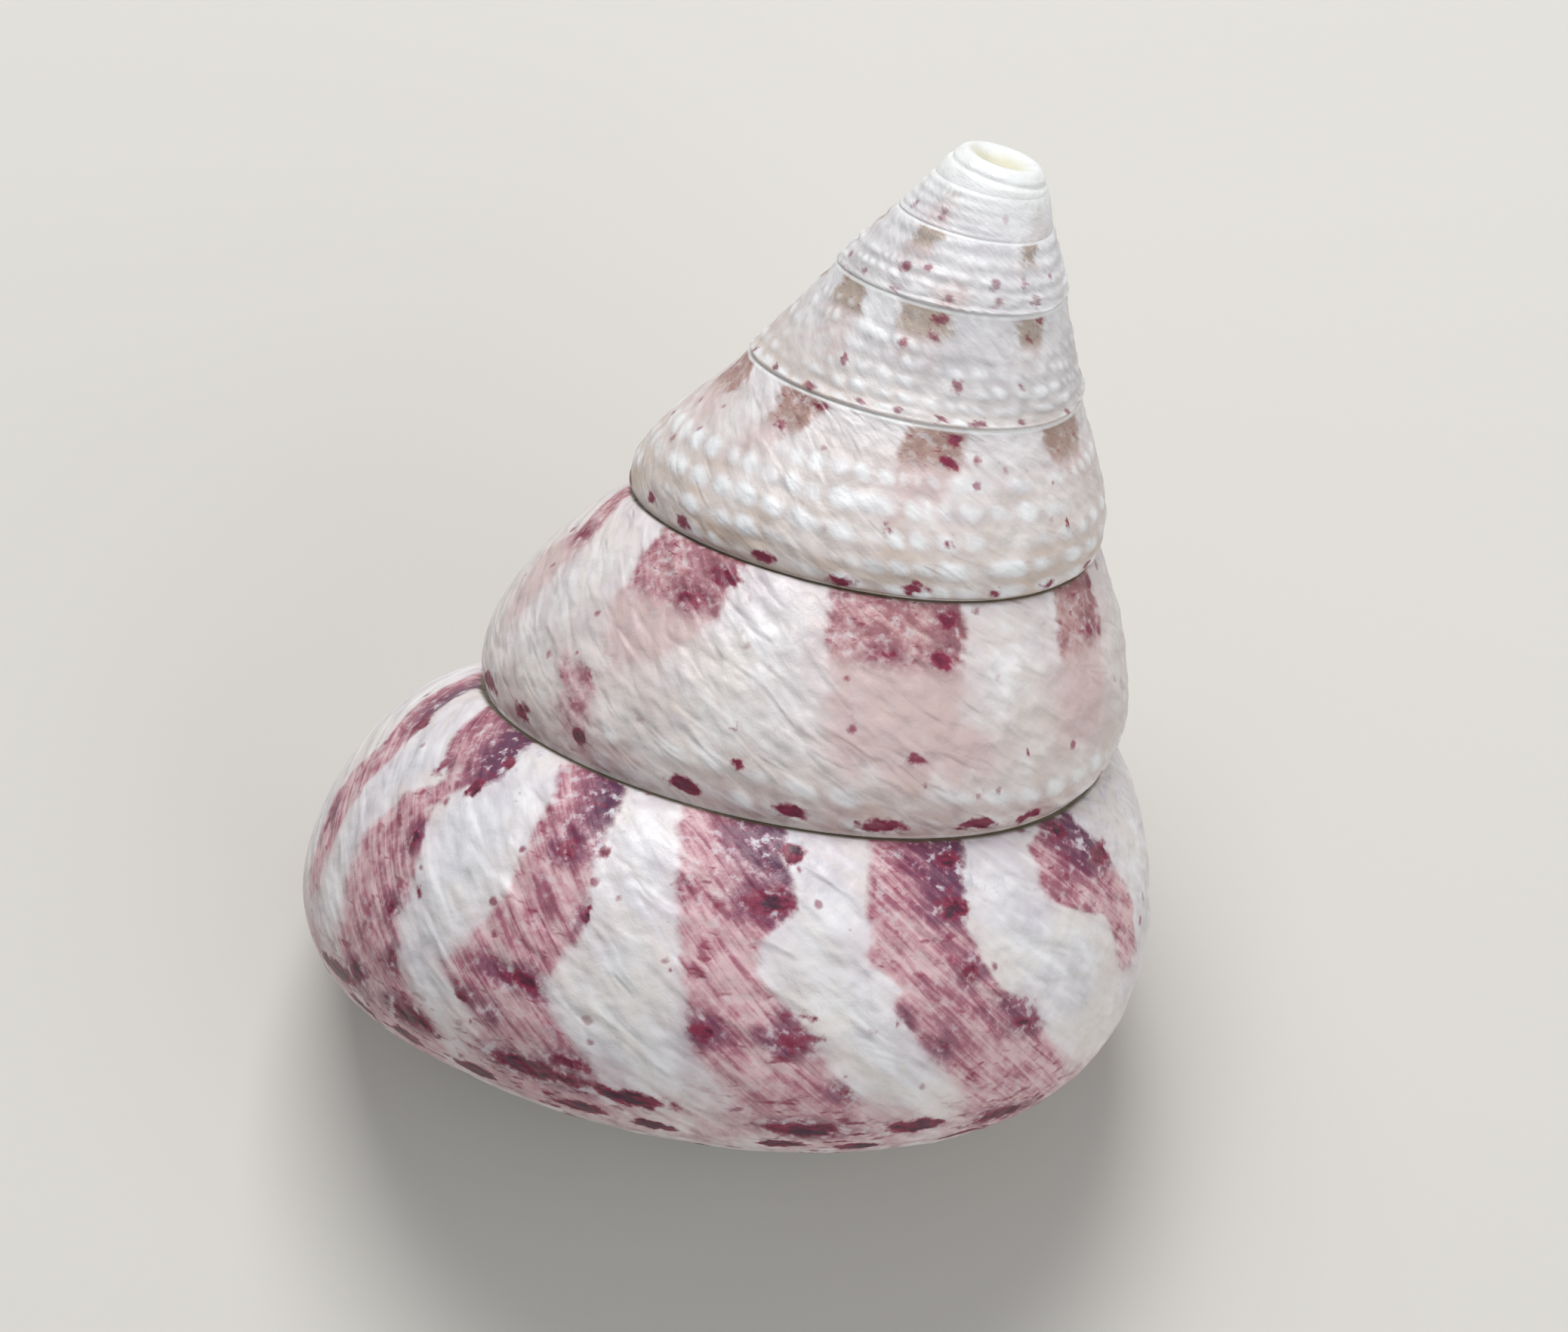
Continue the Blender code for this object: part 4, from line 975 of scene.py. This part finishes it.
    colour = add_node(tree, "ShaderNodeMix", {
        0: cover.outputs[0], 6: ground.outputs[2], 7: faded.outputs[2]}, data_type="RGBA")

    # Rim of the last whorl: broken crimson mottling that runs on under the rounded edge.
    broken = add_node(tree, "ShaderNodeMath", {0: bands, 1: clouds}, operation="ADD")
    broken = add_node(tree, "ShaderNodeMath", {0: grains, 1: 0.5, 2: broken.outputs[0]}, operation="MULTIPLY_ADD")
    broken = add_node(tree, "ShaderNodeMapRange", {
        "Value": broken.outputs[0], "From Min": 1.05, "From Max": 1.4})
    broken = add_node(tree, "ShaderNodeMath", {0: broken.outputs[0], 1: fields["rim"]}, operation="MULTIPLY")
    broken = add_node(tree, "ShaderNodeMath", {0: broken.outputs[0], 1: 0.72}, operation="MULTIPLY")
    colour = add_node(tree, "ShaderNodeMix", {
        0: broken.outputs[0], 6: colour.outputs[2], 7: pigment.outputs[2]}, data_type="RGBA")
    tinted = add_node(tree, "ShaderNodeMath", {0: fields["rim"], 1: clouds}, operation="MULTIPLY")
    tinted = add_node(tree, "ShaderNodeMath", {0: tinted.outputs[0], 1: 0.8}, operation="MULTIPLY")
    colour = add_node(tree, "ShaderNodeMix", {
        0: tinted.outputs[0], 6: colour.outputs[2], 7: (*colours.blush, 1.0)}, data_type="RGBA")
    near = add_node(tree, "ShaderNodeMapRange", {"Value": fields["flames"], "From Min": -3.0, "From Max": -0.2})
    worm = add_node(tree, "ShaderNodeMapRange", {"Value": worms, "From Min": 0.54, "From Max": 0.64})
    worm = add_node(tree, "ShaderNodeMath", {0: worm.outputs[0], 1: fields["rim"]}, operation="MULTIPLY")
    worm = add_node(tree, "ShaderNodeMath", {0: worm.outputs[0], 1: near.outputs[0]}, operation="MULTIPLY")
    colour = add_node(tree, "ShaderNodeMix", {
        0: worm.outputs[0], 6: colour.outputs[2], 7: (*colours.plum, 1.0)}, data_type="RGBA")

    # Dusk on the shoulders of the last flames: dark plum, mottled with whitish flecks that are part worn specks and
    # part painted glints.
    mottle = add_node(tree, "ShaderNodeMapRange", {"Value": grains, "From Min": 0.32, "From Max": 0.56})
    dusk = add_node(tree, "ShaderNodeMath", {0: fields["dusk"], 1: mottle.outputs[0]}, operation="MULTIPLY")
    dusk = add_node(tree, "ShaderNodeMath", {0: dusk.outputs[0], 1: cover.outputs[0]}, operation="MULTIPLY")
    dusk = add_node(tree, "ShaderNodeMath", {0: dusk.outputs[0], 1: 0.8}, operation="MULTIPLY")
    colour = add_node(tree, "ShaderNodeMix", {
        0: dusk.outputs[0], 6: colour.outputs[2], 7: (*colours.dusk, 1.0)}, data_type="RGBA")
    # Part worn specks, part painted glints: lavender-white flecks in the upper flames and the dusk.
    fleck_and_glint = add_node(tree, "ShaderNodeMapRange", {"Value": grains, "From Min": 0.45, "From Max": 0.34})
    shoulder = add_node(tree, "ShaderNodeMapRange", {"Value": across, "From Min": 0.12, "From Max": 0.40,
                                                     "To Min": 0.55, "To Max": 0.25})
    mottled = add_node(tree, "ShaderNodeMath", {0: cover.outputs[0], 1: shoulder.outputs[0]},
                       operation="MULTIPLY")
    mottled = add_node(tree, "ShaderNodeMath", {0: mottled.outputs[0], 1: fields["dusk"]}, operation="MAXIMUM")
    fleck_and_glint = add_node(tree, "ShaderNodeMath", {0: mottled.outputs[0], 1: fleck_and_glint.outputs[0]}, operation="MULTIPLY")
    colour = add_node(tree, "ShaderNodeMix", {
        0: fleck_and_glint.outputs[0], 6: colour.outputs[2], 7: (*colours.lavender, 1.0)}, data_type="RGBA")

    # Beads: their tops are rubbed white.
    rubbed = add_node(tree, "ShaderNodeMath", {0: grains, 1: 0.5, 2: fields["bead"]}, operation="MULTIPLY_ADD")
    rubbed = add_node(tree, "ShaderNodeMapRange", {"Value": rubbed.outputs[0], "From Min": 0.50, "From Max": 0.90})
    bold = add_node(tree, "ShaderNodeMapRange", {"Value": turn, "From Min": 2.0, "From Max": 2.9,
                                                 "To Min": 0.60, "To Max": 0.75})
    rubbed = add_node(tree, "ShaderNodeMath", {0: rubbed.outputs[0], 1: bold.outputs[0]}, operation="MULTIPLY")
    colour = add_node(tree, "ShaderNodeMix", {
        0: rubbed.outputs[0], 6: colour.outputs[2], 7: (*colours.chalk, 1.0)}, data_type="RGBA")

    # Spots and dashes.
    worm = add_node(tree, "ShaderNodeMapRange", {"Value": worms, "From Min": 0.60, "From Max": 0.70})
    worm = add_node(tree, "ShaderNodeMath", {0: worm.outputs[0], 1: cover.outputs[0]}, operation="MULTIPLY")
    worm = add_node(tree, "ShaderNodeMath", {0: worm.outputs[0], 1: fields["blush"]}, operation="MULTIPLY")
    worm = add_node(tree, "ShaderNodeMath", {0: worm.outputs[0], 1: 0.75}, operation="MULTIPLY")
    colour = add_node(tree, "ShaderNodeMix", {
        0: worm.outputs[0], 6: colour.outputs[2], 7: (*colours.crimson, 1.0)}, data_type="RGBA")
    spot = add_node(tree, "ShaderNodeMath", {0: grains, 1: 0.7, 2: fields["spot"]}, operation="MULTIPLY_ADD")
    spot = add_node(tree, "ShaderNodeMath", {0: bands, 1: 0.65, 2: spot.outputs[0]}, operation="MULTIPLY_ADD")
    fringe = add_node(tree, "ShaderNodeMapRange", {
        "Value": spot.outputs[0], "From Min": 0.54, "From Max": 0.78}, interpolation_type="SMOOTHSTEP")
    firm = add_node(tree, "ShaderNodeMapRange", {"Value": turn, "From Min": 1.2, "From Max": 3.0,
                                                 "To Min": 0.5, "To Max": 1.0})
    fringe = add_node(tree, "ShaderNodeMath", {0: fringe.outputs[0], 1: firm.outputs[0]}, operation="MULTIPLY")
    colour = add_node(tree, "ShaderNodeMix", {
        0: fringe.outputs[0], 6: colour.outputs[2], 7: (*colours.crimson, 1.0)}, data_type="RGBA")
    core = add_node(tree, "ShaderNodeMapRange", {
        "Value": spot.outputs[0], "From Min": 0.68, "From Max": 0.86}, interpolation_type="SMOOTHSTEP")
    blotch = add_node(tree, "ShaderNodeMapRange", {
        "Value": worms, "From Min": 0.40, "From Max": 0.54, "To Min": 0.15, "To Max": 0.95})
    core = add_node(tree, "ShaderNodeMath", {0: core.outputs[0], 1: blotch.outputs[0]}, operation="MULTIPLY")
    dark = add_node(tree, "ShaderNodeMapRange", {"Value": turn, "From Min": 3.6, "From Max": 4.6,
                                                 "To Min": 0.35, "To Max": 1.0})
    core = add_node(tree, "ShaderNodeMath", {0: core.outputs[0], 1: dark.outputs[0]}, operation="MULTIPLY")
    colour = add_node(tree, "ShaderNodeMix", {
        0: core.outputs[0], 6: colour.outputs[2], 7: (*colours.core, 1.0)}, data_type="RGBA")

    # Specks: about one in six cells of a scatter, a third of a millimetre across.
    scatter = add_node(tree, "ShaderNodeTexVoronoi", {"Vector": here, "Scale": 1.0 / (1.1 * MM)})
    chance = add_node(tree, "ShaderNodeSeparateColor", {"Color": scatter.outputs["Color"]})
    ragged = add_node(tree, "ShaderNodeMath", {0: grains, 1: 0.5, 2: scatter.outputs["Distance"]},
                      operation="MULTIPLY_ADD")
    reach = add_node(tree, "ShaderNodeMath", {0: chance.outputs[1], 1: 0.16, 2: 0.27}, operation="MULTIPLY_ADD")
    inside = add_node(tree, "ShaderNodeMath", {0: reach.outputs[0], 1: ragged.outputs[0]}, operation="SUBTRACT")
    inside = add_node(tree, "ShaderNodeMapRange", {"Value": inside.outputs[0], "From Min": -0.10, "From Max": 0.03})
    picked = add_node(tree, "ShaderNodeMath", {0: chance.outputs[0], 1: 0.72}, operation="GREATER_THAN")
    speck = add_node(tree, "ShaderNodeMath", {0: inside.outputs[0], 1: picked.outputs[0]}, operation="MULTIPLY")
    near = add_node(tree, "ShaderNodeMapRange", {"Value": fields["flames"], "From Min": -3.5, "From Max": -0.5,
                                                 "To Min": 0.15, "To Max": 0.8})
    speck = add_node(tree, "ShaderNodeMath", {0: speck.outputs[0], 1: near.outputs[0]}, operation="MULTIPLY")
    colour = add_node(tree, "ShaderNodeMix", {
        0: speck.outputs[0], 6: colour.outputs[2], 7: (*colours.crimson, 1.0)}, data_type="RGBA")

    # Tip, worn to bare white, and the glaze at the mouth.
    bare = add_node(tree, "ShaderNodeMath", {0: fields["wear"], 1: 1.6, 2: -0.3}, operation="MULTIPLY_ADD",
                    use_clamp=True)
    bare = add_node(tree, "ShaderNodeMath", {0: bare.outputs[0], 1: fields["glaze"]}, operation="MAXIMUM")
    colour = add_node(tree, "ShaderNodeMix", {
        0: bare.outputs[0], 6: colour.outputs[2], 7: (*colours.chalk, 1.0)}, data_type="RGBA")

    pit = add_node(tree, "ShaderNodeMapRange", {"Value": across, "From Min": -0.15, "From Max": -0.50})
    colour = add_node(tree, "ShaderNodeMix", {
        0: pit.outputs[0], 6: colour.outputs[2], 7: (*colours.cream, 1.0)}, data_type="RGBA")

    # A pale thread along the upper suture of the early whorls, and in that of the later ones a dark olive line, part
    # dirt and part painted shade of the groove.
    thread = add_node(tree, "ShaderNodeMapRange", {"Value": across, "From Min": 0.025, "From Max": 0.045,
                                                   "To Min": 1.0, "To Max": 0.0})
    young = add_node(tree, "ShaderNodeMapRange", {"Value": turn, "From Min": 3.2, "From Max": 3.6,
                                                  "To Min": 0.8, "To Max": 0.0})
    thread = add_node(tree, "ShaderNodeMath", {0: thread.outputs[0], 1: young.outputs[0]}, operation="MULTIPLY")
    side = add_node(tree, "ShaderNodeMath", {0: across, 1: -0.001}, operation="GREATER_THAN")
    thread = add_node(tree, "ShaderNodeMath", {0: thread.outputs[0], 1: side.outputs[0]}, operation="MULTIPLY")
    colour = add_node(tree, "ShaderNodeMix", {
        0: thread.outputs[0], 6: colour.outputs[2], 7: (*colours.chalk, 1.0)}, data_type="RGBA")
    # Painted shade, with some dirt: a dark olive line along the groove of the later sutures.
    line = add_node(tree, "ShaderNodeMapRange", {"Value": across, "From Min": 0.010, "From Max": 0.024,
                                                 "To Min": 1.0, "To Max": 0.0})
    old = add_node(tree, "ShaderNodeMapRange", {"Value": turn, "From Min": 3.3, "From Max": 3.7})
    dirt_and_shade = add_node(tree, "ShaderNodeMath", {0: line.outputs[0], 1: old.outputs[0]}, operation="MULTIPLY")
    colour = add_node(tree, "ShaderNodeMix", {
        0: dirt_and_shade.outputs[0], 6: colour.outputs[2], 7: (*colours.grime_and_shade, 1.0)}, data_type="RGBA")

    # Soft strokes along the growth lines, low lumps and a little pitting, felt as much as seen.
    drawn = add_node(tree, "ShaderNodeVectorMath", {0: place.outputs["Vector"], 1: (62.0, 9.0, 0.0)},
                     operation="MULTIPLY")
    strokes = add_node(tree, "ShaderNodeTexNoise", {
        "Vector": drawn.outputs[0], "Scale": 1.0, "Detail": 1.0, "Roughness": 0.4, "Distortion": 0.6}).outputs["Fac"]
    lumps = add_node(tree, "ShaderNodeTexNoise", {
        "Vector": here, "Scale": 1.0 / (1.2 * MM), "Detail": 1.0, "Roughness": 0.4}).outputs["Fac"]
    grown = add_node(tree, "ShaderNodeMapRange", {"Value": turn, "From Min": 2.2, "From Max": 4.4,
                                                  "To Min": 0.08, "To Max": 1.0})
    strokes = add_node(tree, "ShaderNodeMath", {0: grown.outputs[0], 1: strokes}, operation="MULTIPLY").outputs[0]
    fine = add_node(tree, "ShaderNodeMath", {0: streaks, 1: 0.04, 2: strokes}, operation="MULTIPLY_ADD")
    fine = add_node(tree, "ShaderNodeMath", {0: grains, 1: 0.20, 2: fine.outputs[0]}, operation="MULTIPLY_ADD")
    fine = add_node(tree, "ShaderNodeMath", {0: lumps, 1: 1.0, 2: fine.outputs[0]}, operation="MULTIPLY_ADD")
    bump = add_node(tree, "ShaderNodeBump", {"Height": fine.outputs[0], "Strength": 0.8, "Distance": 0.34 * MM})
    tree.links.new(colour.outputs[2], surface.inputs["Base Color"])
    tree.links.new(bump.outputs[0], surface.inputs["Normal"])
    surface.inputs["Roughness"].default_value = 0.44
    surface.inputs["IOR"].default_value = 1.5
    return material


def mother_of_pearl(colours):
    """Pearl lining of the tube: smooth stacked layers, which give a soft silvery gloss."""
    material = bpy.data.materials.new("pearl_lining")
    material.use_nodes = True
    surface = material.node_tree.nodes["Principled BSDF"]
    surface.inputs["Base Color"].default_value = (*colours.pearl, 1.0)
    surface.inputs["Roughness"].default_value = 0.28
    surface.inputs["IOR"].default_value = 1.6
    return material


def plain_paper(colour):
    """Matt studio paper of the floor: even, with no gloss."""
    material = bpy.data.materials.new("studio_paper")
    material.use_nodes = True
    surface = material.node_tree.nodes["Principled BSDF"]
    surface.inputs["Base Color"].default_value = (*colour, 1.0)
    surface.inputs["Roughness"].default_value = 0.9
    surface.inputs["Specular IOR Level"].default_value = 0.2
    return material


class SHELL_OT_grow(bpy.types.Operator):
    """Grow the dressed shell in place of the plain one"""
    bl_idname = "shell.grow"
    bl_label = "Grow shell"
    bl_options = {"REGISTER", "UNDO"}

    def execute(self, context):
        shell = bpy.data.objects.new("top_shell", shell_mesh(context.scene.shell_sizes))
        shell.data.materials.append(worn_lime(context.scene.shell_colours))
        shell.data.materials.append(mother_of_pearl(context.scene.shell_colours))
        context.scene.collection.objects.link(shell)
        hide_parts("shell")
        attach(shell, "root")
        return {"FINISHED"}


class SHELL_OT_set_stage(bpy.types.Operator):
    """Lay the floor, hang the lights and place the camera"""
    bl_idname = "shell.set_stage"
    bl_label = "Set stage"
    bl_options = {"REGISTER", "UNDO"}

    def execute(self, context):
        scene, settings = context.scene, context.scene.shell_stage
        half = 0.5 * settings.floor_size
        mesh = bpy.data.meshes.new("floor")
        mesh.from_pydata([(-half, -half, 0.0), (half, -half, 0.0), (half, half, 0.0), (-half, half, 0.0)],
                         [], [(0, 1, 2, 3)])
        mesh.materials.append(plain_paper(settings.floor_colour))
        floor = bpy.data.objects.new("floor", mesh)
        scene.collection.objects.link(floor)

        scene.world = bpy.data.worlds.new("studio")
        scene.world.use_nodes = True
        sky = scene.world.node_tree.nodes["Background"]
        sky.inputs["Color"].default_value = (0.93, 0.96, 1.0, 1.0)
        sky.inputs["Strength"].default_value = settings.sky
        for name, power, size, place in (("key", settings.key_power, 0.22, (-0.02, 0.20, 0.36)),
                                         ("fill", 0.50 * settings.key_power, 0.40, (0.30, -0.25, 0.22))):
            lamp = bpy.data.lights.new(name, "AREA")
            lamp.energy = power
            lamp.size = size
            holder = bpy.data.objects.new(name, lamp)
            holder.location = place
            holder.rotation_euler = (-Vector(place)).to_track_quat("-Z", "Y").to_euler()
            scene.collection.objects.link(holder)

        camera = bpy.data.cameras.new("camera")
        camera.lens = settings.lens
        holder = bpy.data.objects.new("camera", camera)
        tilt = Matrix.Rotation(0.25 * TURN - settings.elevation, 4, "X") @ Matrix.Rotation(settings.roll, 4, "Z")
        holder.matrix_world = (Matrix.Translation(settings.aim) @ tilt
                               @ Matrix.Translation((0.0, 0.0, settings.distance)))
        scene.collection.objects.link(holder)
        scene.camera = holder
        scene.view_settings.view_transform = "Standard"
        return {"FINISHED"}


class SHELL_PT_panel(bpy.types.Panel):
    """Lists the steps and their settings in the sidebar"""
    bl_label = "Trochus top shell"
    bl_idname = "SHELL_PT_panel"
    bl_space_type = "VIEW_3D"
    bl_region_type = "UI"
    bl_category = "Shell"

    def draw(self, context):
        for group, owner, step in ((ShellSizes, context.scene.shell_sizes, None),
                                   (ShellColours, context.scene.shell_colours, SHELL_OT_grow),
                                   (StageSettings, context.scene.shell_stage, SHELL_OT_set_stage)):
            for name in group.__annotations__:
                self.layout.prop(owner, name)
            if step:
                self.layout.operator(step.bl_idname)


CLASSES = (ShellSizes, ShellColours, StageSettings, SHELL_OT_grow, SHELL_OT_set_stage, SHELL_PT_panel)


def register():
    for kind in CLASSES:
        bpy.utils.register_class(kind)
    bpy.types.Scene.shell_sizes = bpy.props.PointerProperty(type=ShellSizes)
    bpy.types.Scene.shell_colours = bpy.props.PointerProperty(type=ShellColours)
    bpy.types.Scene.shell_stage = bpy.props.PointerProperty(type=StageSettings)


def unregister():
    del bpy.types.Scene.shell_stage
    del bpy.types.Scene.shell_colours
    del bpy.types.Scene.shell_sizes
    for kind in reversed(CLASSES):
        bpy.utils.unregister_class(kind)


def main():
    """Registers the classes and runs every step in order."""
    register()
    bpy.ops.shell.grow()
    bpy.ops.shell.set_stage()


if __name__ == "__main__":
    main()
